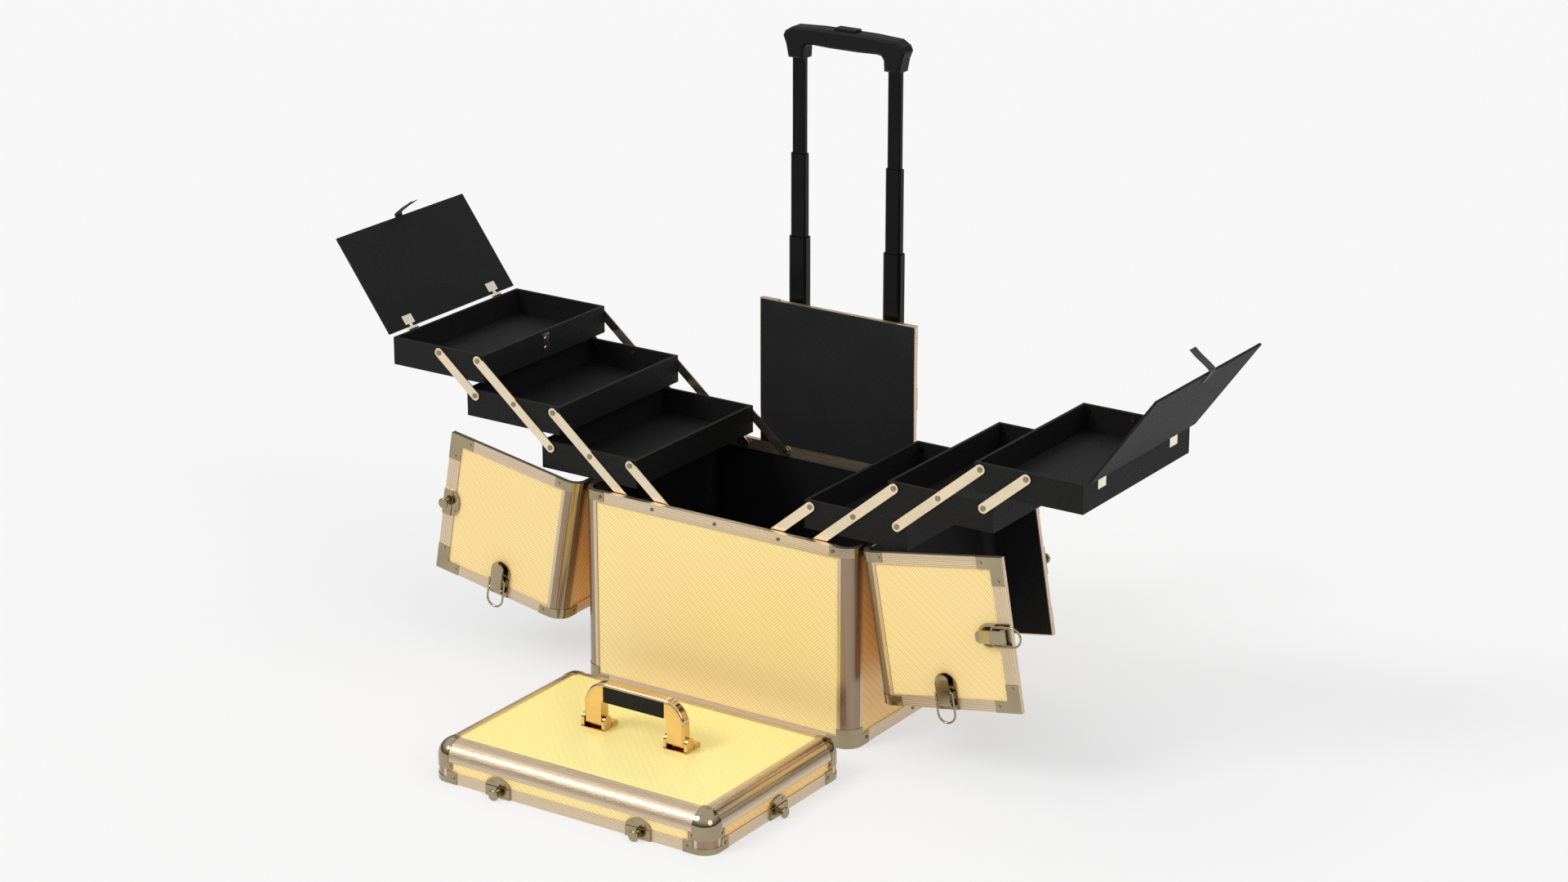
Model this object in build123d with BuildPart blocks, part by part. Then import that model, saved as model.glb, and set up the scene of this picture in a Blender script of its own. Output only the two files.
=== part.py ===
from build123d import *
import os
from math import cos, sin, radians

# Makeup train case: an aluminium-framed case body, two U-shaped wings that hang open from its
# sides, two stacks of three cantilever trays, a lift-off lid and a telescopic trolley handle.
# Millimetres. +X to the right of someone facing the case, +Y to its back, +Z up.
# The origin is the middle of the face that the case stands on.

# ---------------------------------------------------------------- driving dimensions
# Case body
case_width = 388.0
case_depth = 270.0
body_height = 251.0
top_rim_height = 14.0
bottom_rim_height = 16.0
corner_radius = 20.0
corner_lip = 2.0            # flat lip of a corner extrusion, next to its curve
frame_thickness = 5.8       # all extrusions, from the outer plane to the lining
lining_thickness = 1.0      # black sheet that covers a board and most of the frame inside
lining_margin = 1.5         # strip of frame that the lining leaves bare at an open edge
board_recess = 1.2          # boards sit this far behind the outer plane
floor_thickness = 5.0
joint_gap = 0.2             # saw-cut gap between neighbouring extrusions

# Upper part: wings and the fixed back board between them
upper_height = 186.0        # rim of the body to the top of the wings
trim_height = 14.0
free_trim_width = 17.0      # upright trim at a wing's free front edge
back_half_width = 112.0     # fixed upper back board
meeting_gap = 0.5           # between parts that meet when the case is closed
rim_gap = 1.0               # between the body's rim and a closed wing
hang_angle = 170.2          # from closed (upright) to hanging open

# Wing hinges
hinge_offset = 2.5          # pin axis outside the side plane
hinge_knuckle_radius = 2.3
hinge_pin_radius = 1.2
hinge_length = 44.0
hinge_spacing = 140.0
hinge_leaf_height = 11.0
leaf_thickness = 1.0
knuckle_count = 5
running_clearance = 0.05    # radial, round pins
knuckle_gap = 0.4           # along the pin

# Lift-off lid
lid_height = 49.0
lid_x = 25.3                # where it lies on the ground, in front of the case
lid_y = -329.5
lid_rim_height = 14.0
lid_strip_top = 26.0        # top of the side strip of board
cap_thickness = 0.8         # corner caps and bands, on the outer plane
lid_cap_reach = 24.0
lid_cap_low = 17.0          # lower end of a ball corner
lid_tab_reach = 29.0
lid_tab_top = 26.0
lid_band_height = 7.0
bracket_screw_inset = 5.0   # screws' distance from a bracket's or tab's end
tab_screw_inset = 3.5
bracket_reach = 36.0        # lower brackets and rim tabs, from the corner along each face
bracket_height = 15.0
band_height = 8.0

# Trays
tray_width = 139.7
tray_end_room = 21.0        # case depth less tray depth: walls, arms and gaps at both ends
tray_depth = case_depth - tray_end_room
tray_height = 35.0
tray_wall = 4.0
tray_floor = 3.0
tray_levels = 3
pivot_spacing = 59.07       # between neighbouring pivots on a tray
pivot_drop = 7.3            # pivots below the tray's top edge
outer_pivot_inset = 13.2    # outermost pivot from the tray's outer edge
first_pivot_x = 74.0        # inner pivot on the case
arm_pitch = 70.7            # pivot to pivot
arm_lean_open = 50.2        # from upright, outwards
arm_width = 12.0
arm_thickness = 1.5
arm_gap = 0.4               # arm to tray wall
rivet_radius = 2.0
rivet_head_radius = 3.4
rivet_head_height = 0.7
case_pivot_depth = 4.0      # blind hole in the body's rim

# Lids of the top trays
tray_lid_width = 136.0
tray_lid_thickness = 3.0
tray_lid_rise = 1.1         # underside of the closed lid above the tray
tray_lid_edge = 1.0         # lid's edge in from the tray's outer face
tray_lid_open = 126.0
tray_hinge_offset = 2.2     # pin axis outside the tray wall
tray_hinge_rise = 0.7
tray_hinge_radius = 2.0
tray_hinge_pin = 1.0
tray_hinge_length = 18.0
tray_hinge_spacing = 168.0
tray_leaf_length = 15.0
tray_leaf_thickness = 0.8
pull_width = 14.0
pull_thickness = 0.8
pull_drop = 30.0

# Draw latches and knob catches
latch_half_width = 14.0
latch_plate = 1.2
latch_pivot = (-8.0, 5.0)   # lever's pivot: along the latch, above the face
hoop_pivot_height = 6.0
latch_size = (44.0, -22.0)  # length, and where along it the hoop's pivot is
back_latch_size = (30.0, -15.0)
lever_half_width = 8.0
ear_thickness = 1.2
wire_radius = 1.3
hoop_half_width = 11.4
hoop_leg_end = 3.5
latch_x = 98.0              # front latches, from the middle of the case
rear_hoop_swing = 115.0     # rear hoops rest swung clear of the wings' path
ear_gap = 0.4
ear_radius = 3.6
lever_eye_radius = 3.0
hoop_pin_depth = 3.0
hoop_bend = 2.2             # radius of the wire's corners
lever_block = 3.0           # thick part of the lever round the hoop's ends
lever_half_block = 2.6
catch_half_width = 17.0
catch_straight = 13.0
catch_round = 11.0
catch_edge = 0.3
knob_offset = 6.0
knob_radius = 6.6
knob_neck_radius = 3.4
knob_seat = 7.7             # top of the neck, above the face
knob_thickness = 4.2
catch_step = 1.2            # the straight part is this much thicker than the round one
plate_rivet_radius = 1.5
plate_rivet_height = 0.6
plate_rivet_spots = ((-9.0, 18.0), (9.0, 18.0))

# Carrying handle on the lid
bail_half_width = 70.0
bail_inner_half = 46.0
bail_top = 50.0             # above its pivot
bail_bar_height = 22.0
bail_half_depth = 7.0
bail_corner_radius = 30.0
bail_edge_round = 3.0
bail_pivot_height = 9.0
grip_half_length = 42.0
grip_proud = 1.2
foot_ear = 4.0
foot_base = 1.5
foot_heel = 20.0

# Trolley handle
tube_half_spacing = 67.8
tube_y = 150.4
tube_foot = 66.0
outer_tube = (25.0, 15.0, 1.5, 517.0)    # width, depth, wall, top height
middle_tube = (21.4, 11.4, 1.2, 621.6)
inner_tube = (18.2, 8.2, 1.2, 741.0)
middle_tube_length = 260.0
inner_tube_length = 275.0
tube_chamfer = 3.0
grip_height = 40.0
grip_half_width = 86.0
grip_half_depth = 12.0
grip_arch = 18.0            # underside above the tubes' ends
grip_socket = 16.0
grip_chamfer = 3.0
button_half_length = 15.0
button_half_depth = 7.0
button_height = 3.5
button_travel = 3.0

# Wheels
wheel_x = 138.0
wheel_radius = 25.0
wheel_width = 20.0
wheel_lift = 2.0            # wheel clear of the ground while the case stands
wheel_behind = 30.0         # axle behind the back plane
axle_radius = 4.0
tyre_thickness = 5.0

# Fasteners
screw_head_radius = 2.2
screw_head_height = 0.9
screw_shank_radius = 1.2
screw_length = 4.0

# ---------------------------------------------------------------- worked out from them
half_w = case_width / 2
half_d = case_depth / 2
corner_reach = corner_radius + corner_lip
inside = frame_thickness + lining_thickness
upper_bottom = body_height + rim_gap
upper_top = body_height + upper_height
hinge_x = half_w + hinge_offset
hinge_z = body_height + rim_gap / 2
right_hinge = Axis((hinge_x, 0, hinge_z), (0, 1, 0))
arm_dx = arm_pitch * sin(radians(arm_lean_open))
arm_dz = arm_pitch * cos(radians(arm_lean_open))
pivot_z = body_height - pivot_drop
inner_pivot_inset = outer_pivot_inset + 2 * pivot_spacing
arm_near = tray_depth / 2 + arm_gap
lid_front = lid_y - half_d
lid_top = lid_height - board_recess

os.makedirs("parts", exist_ok=True)


def save(part, node):
    """Label a finished piece and write it as the node's STEP file."""
    part.label = node
    export_step(part, f"parts/{node}.step")


def group(*parts):
    """Separate solids that share one node."""
    return Compound([solid for part in parts for solid in part.solids()])


def block(low, high, mode=Mode.ADD):
    """A plain block between two opposite corners, in the part being built."""
    size = [b - a for a, b in zip(low, high)]
    with Locations(tuple((a + b) / 2 for a, b in zip(low, high))):
        Box(*size, mode=mode)


def side_name(side):
    return "right" if side > 0 else "left"


def sided(part, side):
    """The pieces are modelled on the right; the left ones are their mirror image."""
    return part if side > 0 else mirror(part, about=Plane.YZ)


def hung(part):
    """A right wing's piece, from the closed pose that it is modelled in to hanging open."""
    return part.rotate(right_hinge, hang_angle)


def screws(seats):
    """Round-headed screws; each seat is a point on a face and the face's outward normal."""
    with BuildPart() as made:
        for point, normal in seats:
            with Locations(Plane(origin=point, z_dir=normal)):
                Cylinder(screw_head_radius, screw_head_height, align=(Align.CENTER, Align.CENTER, Align.MIN))
                Cylinder(screw_shank_radius, screw_length, align=(Align.CENTER, Align.CENTER, Align.MAX))
    return made.part


def screw_holes(seats):
    """Through holes for those screws in the plates of the part being built."""
    for point, normal in seats:
        with Locations(Plane(origin=point, z_dir=normal)):
            Cylinder(screw_shank_radius, 2 * screw_length, mode=Mode.SUBTRACT)


# ---------------------------------------------------------------- boards
def wall_board(axis_sign, along, across, low, high, margins):
    """A board in its frame opening, with a lining sheet on the inside that covers the frame.

    axis_sign: ("x" or "y", +1 or -1) the face it belongs to; along: its two ends on that face;
    low, high: the opening's heights; margins: how far the lining runs past each opening edge
    (start, end, bottom, top).
    """
    axis, sign = axis_sign
    spans = (
        (across - board_recess, across - frame_thickness, along, (low, high)),
        (
            across - frame_thickness,
            across - inside,
            (along[0] - margins[0], along[1] + margins[1]),
            (low - margins[2], high + margins[3]),
        ),
    )
    for outer, inner, (start, end), (bottom, top) in spans:
        near, far = sorted((sign * outer, sign * inner))
        if axis == "x":
            block((near, start, bottom), (far, end, top))
        else:
            block((start, near, bottom), (end, far, top))


with BuildPart() as case_boards:
    opening_x = half_w - corner_reach
    opening_y = half_d - corner_reach
    for sign in (-1, 1):
        wall_board(("y", sign), (-opening_x, opening_x), half_d, bottom_rim_height,
                   body_height - top_rim_height, (0, 0, 0, 0))
        wall_board(("x", sign), (-opening_y, opening_y), half_w, bottom_rim_height,
                   body_height - top_rim_height, (0, 0, 0, 0))
    with BuildSketch():
        RectangleRounded(case_width - 2 * inside, case_depth - 2 * inside, corner_radius - frame_thickness)
    extrude(amount=floor_thickness)
save(case_boards.part, "case_boards")


# ---------------------------------------------------------------- corner extrusions and rims
def corner_posts(corners, bottom, top):
    """Quarter-round extrusions with a flat lip each side, upright at the case's corners."""
    with BuildSketch(Plane.XY.offset(bottom)) as outline:
        RectangleRounded(case_width, case_depth, corner_radius)
        RectangleRounded(
            case_width - 2 * frame_thickness,
            case_depth - 2 * frame_thickness,
            corner_radius - frame_thickness,
            mode=Mode.SUBTRACT,
        )
        reach = corner_reach - joint_gap
        with Locations(*[(sx * (half_w - reach / 2), sy * (half_d - reach / 2)) for sx, sy in corners]):
            zone = Rectangle(reach, reach, mode=Mode.PRIVATE)
        add(zone, mode=Mode.INTERSECT)
    extrude(outline.sketch, amount=top - bottom)


all_corners = [(sx, sy) for sx in (-1, 1) for sy in (-1, 1)]
wing_corners = [(1, -1), (1, 1)]

with BuildPart() as case_corner_posts:
    corner_posts(all_corners, 0, body_height)


def case_pivots():
    """Where the trays' lower arms pivot on the body: (x, side) of the inner and outer pivots."""
    return [(side * (first_pivot_x + n * pivot_spacing)) for side in (-1, 1) for n in (0, 1)]


with BuildPart() as case_rims:
    for sign in (-1, 1):
        for bottom, top in ((0, bottom_rim_height), (body_height - top_rim_height, body_height)):
            y_low, y_high = sorted((sign * half_d, sign * (half_d - inside)))
            x_low, x_high = sorted((sign * half_w, sign * (half_w - inside)))
            block((-opening_x, y_low, bottom), (opening_x, y_high, top))
            block((x_low, -opening_y, bottom), (x_high, opening_y, top))
        pivot_planes = [Plane((x, sign * (half_d - inside), pivot_z), z_dir=(0, sign, 0))
                        for x in case_pivots()]
        with Locations(*pivot_planes):
            Cylinder(rivet_radius + running_clearance, 2 * case_pivot_depth, mode=Mode.SUBTRACT)
save(group(case_corner_posts.part, case_rims.part), "case_frame")


# ---------------------------------------------------------------- corner caps and bands
def skin(corners, bottom, top, reach, proud=cap_thickness):
    """Sheet that wraps the case's upright corners on the outer plane, over a height."""
    with BuildSketch(Plane.XY.offset(bottom)) as outline:
        RectangleRounded(case_width + 2 * proud, case_depth + 2 * proud, corner_radius + proud)
        RectangleRounded(case_width, case_depth, corner_radius, mode=Mode.SUBTRACT)
        size = reach + proud
        with Locations(*[
            (sx * (half_w + proud - size / 2), sy * (half_d + proud - size / 2)) for sx, sy in corners
        ]):
            zone = Rectangle(size, size, mode=Mode.PRIVATE)
        add(zone, mode=Mode.INTERSECT)
    extrude(outline.sketch, amount=top - bottom)


def tab_seats(corners, heights, reach, proud=cap_thickness):
    """Screw seats near the ends of the tabs, on both faces of each corner."""
    seats = []
    for sx, sy in corners:
        for z in heights:
            inset = reach - 5
            seats.append(((sx * (half_w - inset), sy * (half_d + proud), z), (0, sy, 0)))
            seats.append(((sx * (half_w + proud), sy * (half_d - inset), z), (sx, 0, 0)))
    return seats


cap_height = 24.0
tab_height = 12.0
tab_reach = corner_reach + 11
body_cap_seats = tab_seats(all_corners, (bottom_rim_height / 2,), bracket_reach)
body_tab_seats = tab_seats(all_corners, (body_height - tab_height / 2,), tab_reach)

with BuildPart() as case_corner_caps:
    skin(all_corners, 0, cap_height, corner_reach)
    skin(all_corners, 0, bracket_height, bracket_reach)
    skin(all_corners, body_height - band_height, body_height, corner_reach)
    skin(all_corners, body_height - tab_height, body_height, tab_reach)
    screw_holes(body_cap_seats + body_tab_seats)
save(case_corner_caps.part, "case_corner_caps")


# ---------------------------------------------------------------- fixed upper back board
back_opening = back_half_width - trim_height
with BuildPart() as upper_back_board:
    wall_board(("y", 1), (-back_opening, back_opening), half_d, body_height + trim_height,
               upper_top - trim_height,
               [trim_height - lining_margin] * 2 + [trim_height - 0.5, trim_height - lining_margin])
save(upper_back_board.part, "upper_back_board")

back_plate_size = 26.0
back_top = upper_top - cap_thickness
back_seat_y = half_d + cap_thickness
back_seat_reach = back_plate_size - bracket_screw_inset
back_corner_seats = [
    ((sx * (back_half_width - trim_height / 2), back_seat_y, upper_top - back_seat_reach), (0, 1, 0))
    for sx in (-1, 1)
] + [
    ((sx * (back_half_width - back_seat_reach), back_seat_y, upper_top - trim_height / 2), (0, 1, 0))
    for sx in (-1, 1)
]
with BuildPart() as upper_back_frame:
    y_in = half_d - frame_thickness
    for low_z, high_z in ((body_height, body_height + trim_height), (upper_top - trim_height, back_top)):
        block((-back_half_width, y_in, low_z), (back_half_width, half_d, high_z))
    for sx in (-1, 1):
        x_low, x_high = sorted((sx * back_half_width, sx * back_opening))
        block((x_low, y_in, body_height + trim_height + joint_gap),
              (x_high, half_d, upper_top - trim_height - joint_gap))
with BuildPart() as back_brackets:
    for sx in (-1, 1):
        x_low, x_high = sorted((sx * back_half_width, sx * (back_half_width - trim_height)))
        block((x_low, half_d, upper_top - back_plate_size), (x_high, half_d + cap_thickness, upper_top))
        x_low, x_high = sorted((sx * back_half_width, sx * (back_half_width - back_plate_size)))
        block((x_low, half_d, upper_top - trim_height), (x_high, half_d + cap_thickness, upper_top))
        block((x_low, y_in, back_top), (x_high, half_d + cap_thickness, upper_top))
    screw_holes(back_corner_seats)
save(group(upper_back_frame.part, back_brackets.part), "upper_back_frame")


# ---------------------------------------------------------------- wing hinges
def hinge_segments(moving):
    """Stretches of the pin that the fixed leaf (moving=0) or the wing's leaf (moving=1) holds."""
    pitch = hinge_length / knuckle_count
    spans = []
    for middle in (-hinge_spacing / 2, hinge_spacing / 2):
        for n in range(knuckle_count):
            if n % 2 == moving:
                start = middle - hinge_length / 2 + n * pitch
                spans.append((start + knuckle_gap / 2, start + pitch - knuckle_gap / 2))
    return spans


leaf_start = 3.5            # the full-width leaf begins this far from the pin axis
leaf_screw_height = 7.5


def hinge_leaves(moving):
    """Right-hand leaves with their knuckles, at the body (0) or on the closed wing (1)."""
    for start, end in hinge_segments(moving):
        with Locations(Plane((hinge_x, (start + end) / 2, hinge_z), z_dir=(0, 1, 0))):
            Cylinder(hinge_knuckle_radius, end - start)
        leaf_low = hinge_z if moving else hinge_z - hinge_leaf_height
        block((half_w, start, leaf_low), (half_w + leaf_thickness, end, leaf_low + hinge_leaf_height))
    for middle in (-hinge_spacing / 2, hinge_spacing / 2):
        low = hinge_z + leaf_start if moving else hinge_z - hinge_leaf_height
        high = hinge_z + hinge_leaf_height if moving else hinge_z - leaf_start
        block((half_w, middle - hinge_length / 2, low),
              (half_w + leaf_thickness, middle + hinge_length / 2, high))
    for middle in (-hinge_spacing / 2, hinge_spacing / 2):
        with Locations(Plane((hinge_x, middle, hinge_z), z_dir=(0, 1, 0))):
            Cylinder(hinge_pin_radius + (running_clearance if moving else 0), hinge_length + 2,
                     mode=Mode.SUBTRACT)


def leaf_seats(moving):
    height = hinge_z + (leaf_screw_height if moving else -leaf_screw_height)
    return [
        ((half_w + leaf_thickness, middle + dy, height), (1, 0, 0))
        for middle in (-hinge_spacing / 2, hinge_spacing / 2)
        for dy in (-hinge_length / 3, hinge_length / 3)
    ]


with BuildPart() as fixed_leaves:
    hinge_leaves(0)
    screw_holes(leaf_seats(0))
with BuildPart() as hinge_pins:
    for middle in (-hinge_spacing / 2, hinge_spacing / 2):
        with Locations(Plane((hinge_x, middle, hinge_z), z_dir=(0, 1, 0))):
            Cylinder(hinge_pin_radius, hinge_length)
hinge_screws = screws(leaf_seats(0))
right_hinges = group(fixed_leaves.part, hinge_pins.part, hinge_screws)
save(group(right_hinges, sided(right_hinges, -1)), "wing_hinges")

# ---------------------------------------------------------------- screws of the body
rim_screw_pitch = 90.0
rim_seats = []
for sy in (-1, 1):
    for n in (-1, 0, 1):
        x, z = n * rim_screw_pitch, body_height - top_rim_height / 2
        rim_seats.append(((x, sy * half_d, z), (0, sy, 0)))
low_screw_z = bottom_rim_height / 2
rim_seats += [((sx * half_w, 0, low_screw_z), (sx, 0, 0)) for sx in (-1, 1)]
body_screws = screws(rim_seats + body_cap_seats + body_tab_seats + back_corner_seats)
save(body_screws, "case_screws")


# ---------------------------------------------------------------- draw latches
def latch_profile(plane):
    """The plane that a latch's side view is drawn on: along the latch, then off the face."""
    return Plane(plane.origin, x_dir=plane.y_dir, z_dir=plane.x_dir)


def round_tail(plane, half_width, end):
    """Outline from the edge back to a round end, as seen from outside."""
    with BuildSketch(plane) as outline:
        with Locations((0, (end + half_width) / 2)):
            Rectangle(2 * half_width, -end - half_width)
        with Locations((0, end + half_width)):
            Circle(half_width)
    return outline.sketch


def latch_base(plane, size=latch_size):
    """Base plate with a round end and two ears that hold the lever's pivot."""
    with BuildPart() as made:
        extrude(round_tail(plane, latch_half_width, -size[0]), amount=latch_plate)
        for sign in (-1, 1):
            with BuildSketch(latch_profile(plane).offset(sign * (lever_half_width + ear_gap))):
                with Locations((latch_pivot[0], latch_pivot[1] / 2)):
                    Rectangle(2 * ear_radius, latch_pivot[1])
                with Locations(latch_pivot):
                    Circle(ear_radius)
                    Circle(hinge_pin_radius + running_clearance, mode=Mode.SUBTRACT)
            extrude(amount=sign * ear_thickness)
    return made.part


def latch_lever(plane, size=latch_size):
    """Over-centre lever: an eye at its pivot, a thick middle that holds the hoop, a thin tail."""
    end = -size[0]
    hoop = (size[1], hoop_pivot_height)
    with BuildPart() as made:
        with BuildSketch(latch_profile(plane)):
            with Locations(latch_pivot):
                Circle(lever_eye_radius)
            with BuildLine():
                Polyline(
                    (latch_pivot[0], latch_pivot[1] + lever_eye_radius),
                    (hoop[0] - lever_block, hoop[1] + lever_half_block),
                    (end + 6, hoop[1] + 2.0),
                    (end + 1, hoop[1] + 3.2),
                    (end + 1, hoop[1] + 1.4),
                    (end + 6, hoop[1]),
                    (hoop[0] - lever_block - 2, hoop[1]),
                    (hoop[0] - lever_block, hoop[1] - lever_half_block),
                    (latch_pivot[0], latch_pivot[1] - lever_eye_radius),
                    close=True,
                )
            make_face()
        extrude(amount=lever_half_width, both=True)
        extrude(round_tail(plane, lever_half_width, end), amount=3 * hoop[1], mode=Mode.INTERSECT)
        with Locations(Plane(plane.from_local_coords((0, *latch_pivot)), z_dir=plane.x_dir)):
            Cylinder(hinge_pin_radius, 2 * (lever_half_width + ear_gap + ear_thickness))
        for sign in (-1, 1):
            bore = plane.from_local_coords((sign * lever_half_width, *hoop))
            with Locations(Plane(bore, z_dir=plane.x_dir)):
                Cylinder(wire_radius + running_clearance, 2 * hoop_pin_depth, mode=Mode.SUBTRACT)
    return made.part


def latch_hoop(plane, size=latch_size):
    """Wire hoop: two legs with inturned ends that turn in the lever, joined by a half circle."""
    start = size[1]
    pin_end = lever_half_width - hoop_pin_depth + ear_gap
    wire_plane = plane.offset(hoop_pivot_height)
    with BuildPart() as made:
        with BuildLine(wire_plane) as centre_line:
            FilletPolyline((pin_end, start), (hoop_half_width, start), (hoop_half_width, hoop_leg_end),
                           radius=hoop_bend)
            ThreePointArc((hoop_half_width, hoop_leg_end), (0, hoop_leg_end + hoop_half_width),
                          (-hoop_half_width, hoop_leg_end))
            FilletPolyline((-hoop_half_width, hoop_leg_end), (-hoop_half_width, start), (-pin_end, start),
                           radius=hoop_bend)
        with BuildSketch(Plane(wire_plane.from_local_coords((pin_end, start, 0)), z_dir=plane.x_dir)):
            Circle(wire_radius)
        sweep(path=centre_line.wires()[0])
    return made.part


def knob_catch(plane):
    """Catch plate, square at the edge and round behind, with a mushroom knob for a hoop."""
    with BuildPart(plane) as made:
        with BuildSketch(plane):
            with Locations((0, catch_straight)):
                Ellipse(catch_half_width, catch_round)
            with Locations((0, catch_straight - catch_round)):
                Rectangle(2 * catch_half_width, 2 * catch_round, mode=Mode.SUBTRACT)
        extrude(amount=latch_plate)
        with BuildSketch(plane):
            with Locations((0, (catch_straight + catch_edge) / 2)):
                Rectangle(2 * catch_half_width, catch_straight - catch_edge)
        extrude(amount=latch_plate + catch_step)
        for spot in plate_rivet_spots:
            with Locations((*spot, latch_plate + plate_rivet_height / 2)):
                Cylinder(plate_rivet_radius, plate_rivet_height)
        with Locations((0, knob_offset, knob_seat / 2)):
            Cylinder(knob_neck_radius, knob_seat)
        with Locations((0, knob_offset, knob_seat + knob_thickness / 2)):
            Cylinder(knob_radius, knob_thickness)
        knob_rims = made.edges().filter_by(GeomType.CIRCLE).filter_by(
            lambda edge: abs(edge.radius - knob_radius) < 0.01)
        fillet(knob_rims, knob_thickness / 2 - 0.4)
    return made.part


mid_z = (upper_bottom + upper_top) / 2
free_edge = meeting_gap / 2
rear_edge = back_half_width + meeting_gap
front_latch_plane = Plane((latch_x, -half_d, upper_top), x_dir=(1, 0, 0), z_dir=(0, -1, 0))
side_latch_plane = Plane((half_w, 0, upper_top), x_dir=(0, 1, 0), z_dir=(1, 0, 0))
edge_latch_plane = Plane((free_edge, -half_d, mid_z), x_dir=(0, 0, 1), z_dir=(0, -1, 0))
edge_catch_plane = Plane((free_edge, -half_d, mid_z), x_dir=(0, 0, -1), z_dir=(0, -1, 0))
rear_catch_plane = Plane((rear_edge, half_d, mid_z), x_dir=(0, 0, 1), z_dir=(0, 1, 0))
back_latch_plane = Plane((back_half_width, half_d, mid_z), x_dir=(0, 0, 1), z_dir=(0, 1, 0))

back_latch_base = latch_base(back_latch_plane, back_latch_size)
save(group(back_latch_base, sided(back_latch_base, -1)), "back_latch_plates")
rear_hoop_pivot = back_latch_plane.from_local_coords((0, back_latch_size[1], hoop_pivot_height))
rear_hoop_axis = Axis(rear_hoop_pivot, back_latch_plane.x_dir)
for side in (-1, 1):
    name = side_name(side)
    save(sided(latch_lever(back_latch_plane, back_latch_size), side), f"{name}_back_lever")
    swung = latch_hoop(back_latch_plane, back_latch_size).rotate(rear_hoop_axis, rear_hoop_swing)
    save(sided(swung, side), f"{name}_back_hoop")
    for place, plane in (("front", front_latch_plane), ("side", side_latch_plane)):
        save(sided(hung(latch_lever(plane)), side), f"{name}_{place}_lever")
        save(sided(hung(latch_hoop(plane)), side), f"{name}_{place}_hoop")
save(hung(latch_lever(edge_latch_plane)), "wing_edge_lever")
save(hung(latch_hoop(edge_latch_plane)), "wing_edge_hoop")


# ---------------------------------------------------------------- wings
def wing_boards():
    """Front, side and rear boards of the right wing, standing closed."""
    low, high = upper_bottom + trim_height, upper_top - trim_height
    over = trim_height - lining_margin
    with BuildPart() as made:
        wall_board(("y", -1), (free_edge + free_trim_width, opening_x), half_d, low, high,
                   (free_trim_width - lining_margin, 0, over, over))
        wall_board(("x", 1), (-opening_y, opening_y), half_w, low, high, (0, 0, over, over))
        wall_board(("y", 1), (rear_edge + trim_height, opening_x), half_d, low, high,
                   (over, 0, over, over))
    return made.part


def wing_frame():
    """Corner extrusions and trims of the right wing, standing closed."""
    with BuildPart() as made:
        corner_posts(wing_corners, upper_bottom, upper_top)
        for low, high in ((upper_bottom, upper_bottom + trim_height), (upper_top - trim_height, upper_top)):
            block((free_edge, -half_d, low), (opening_x, frame_thickness - half_d, high))
            block((half_w - frame_thickness, -opening_y, low), (half_w, opening_y, high))
            block((rear_edge, half_d - frame_thickness, low), (opening_x, half_d, high))
        low = upper_bottom + trim_height + joint_gap
        high = upper_top - trim_height - joint_gap
        block((free_edge, -half_d, low), (free_edge + free_trim_width, frame_thickness - half_d, high))
        block((rear_edge, half_d - frame_thickness, low), (rear_edge + trim_height, half_d, high))
    return made.part


bracket_leg = 34.0
wing_edges = ((free_edge, free_trim_width, -1), (rear_edge, trim_height, 1))


def wing_bracket_seats():
    seats = []
    for edge, width, sy in wing_edges:
        for z, sz in ((upper_bottom, 1), (upper_top, -1)):
            y = sy * (half_d + cap_thickness)
            seats.append(((edge + width / 2, y, z + sz * (bracket_leg - 5)), (0, sy, 0)))
            seats.append(((edge + bracket_leg - 5, y, z + sz * trim_height / 2), (0, sy, 0)))
    return seats


def wing_fittings(side):
    """Bands, corner brackets, hinge leaves, latch plates and catches of a closed wing."""
    bands = ((upper_bottom, 1), (upper_top, -1))
    seats = wing_bracket_seats() + leaf_seats(1)
    seats += tab_seats(wing_corners, [z + sz * tab_height / 2 for z, sz in bands], tab_reach)
    with BuildPart() as sheet:
        for z, sz in bands:
            for height, reach in ((band_height, corner_reach), (tab_height, tab_reach)):
                low, high = sorted((z, z + sz * height))
                skin(wing_corners, low, high, reach)
            for edge, width, sy in wing_edges:
                near, far = sorted((sy * half_d, sy * (half_d + cap_thickness)))
                low, high = sorted((z, z + sz * bracket_leg))
                block((edge, near, low), (edge + width, far, high))
                low, high = sorted((z, z + sz * trim_height))
                block((edge, near, low), (edge + bracket_leg, far, high))
        hinge_leaves(1)
        screw_holes(seats)
    plates = [latch_base(front_latch_plane), latch_base(side_latch_plane)]
    plates.append(knob_catch(rear_catch_plane))
    plates.append(latch_base(edge_latch_plane) if side > 0 else knob_catch(edge_catch_plane))
    return group(sheet.part, screws(seats), *plates)


for side in (-1, 1):
    name = side_name(side)
    save(sided(hung(wing_boards()), side), f"{name}_wing_boards")
    save(sided(hung(wing_frame()), side), f"{name}_wing_frame")
    save(sided(hung(wing_fittings(side)), side), f"{name}_wing_fittings")


# ---------------------------------------------------------------- trays
def inner_pivot(level):
    """x and z of a right tray's inner pivot, with the stack open."""
    return first_pivot_x + level * arm_dx + (level - 1) * pivot_spacing, pivot_z + level * arm_dz


def tray_edges(level):
    """Outer edge and top of a right tray, with the stack open."""
    x, z = inner_pivot(level)
    return x + inner_pivot_inset, z + pivot_drop


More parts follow.
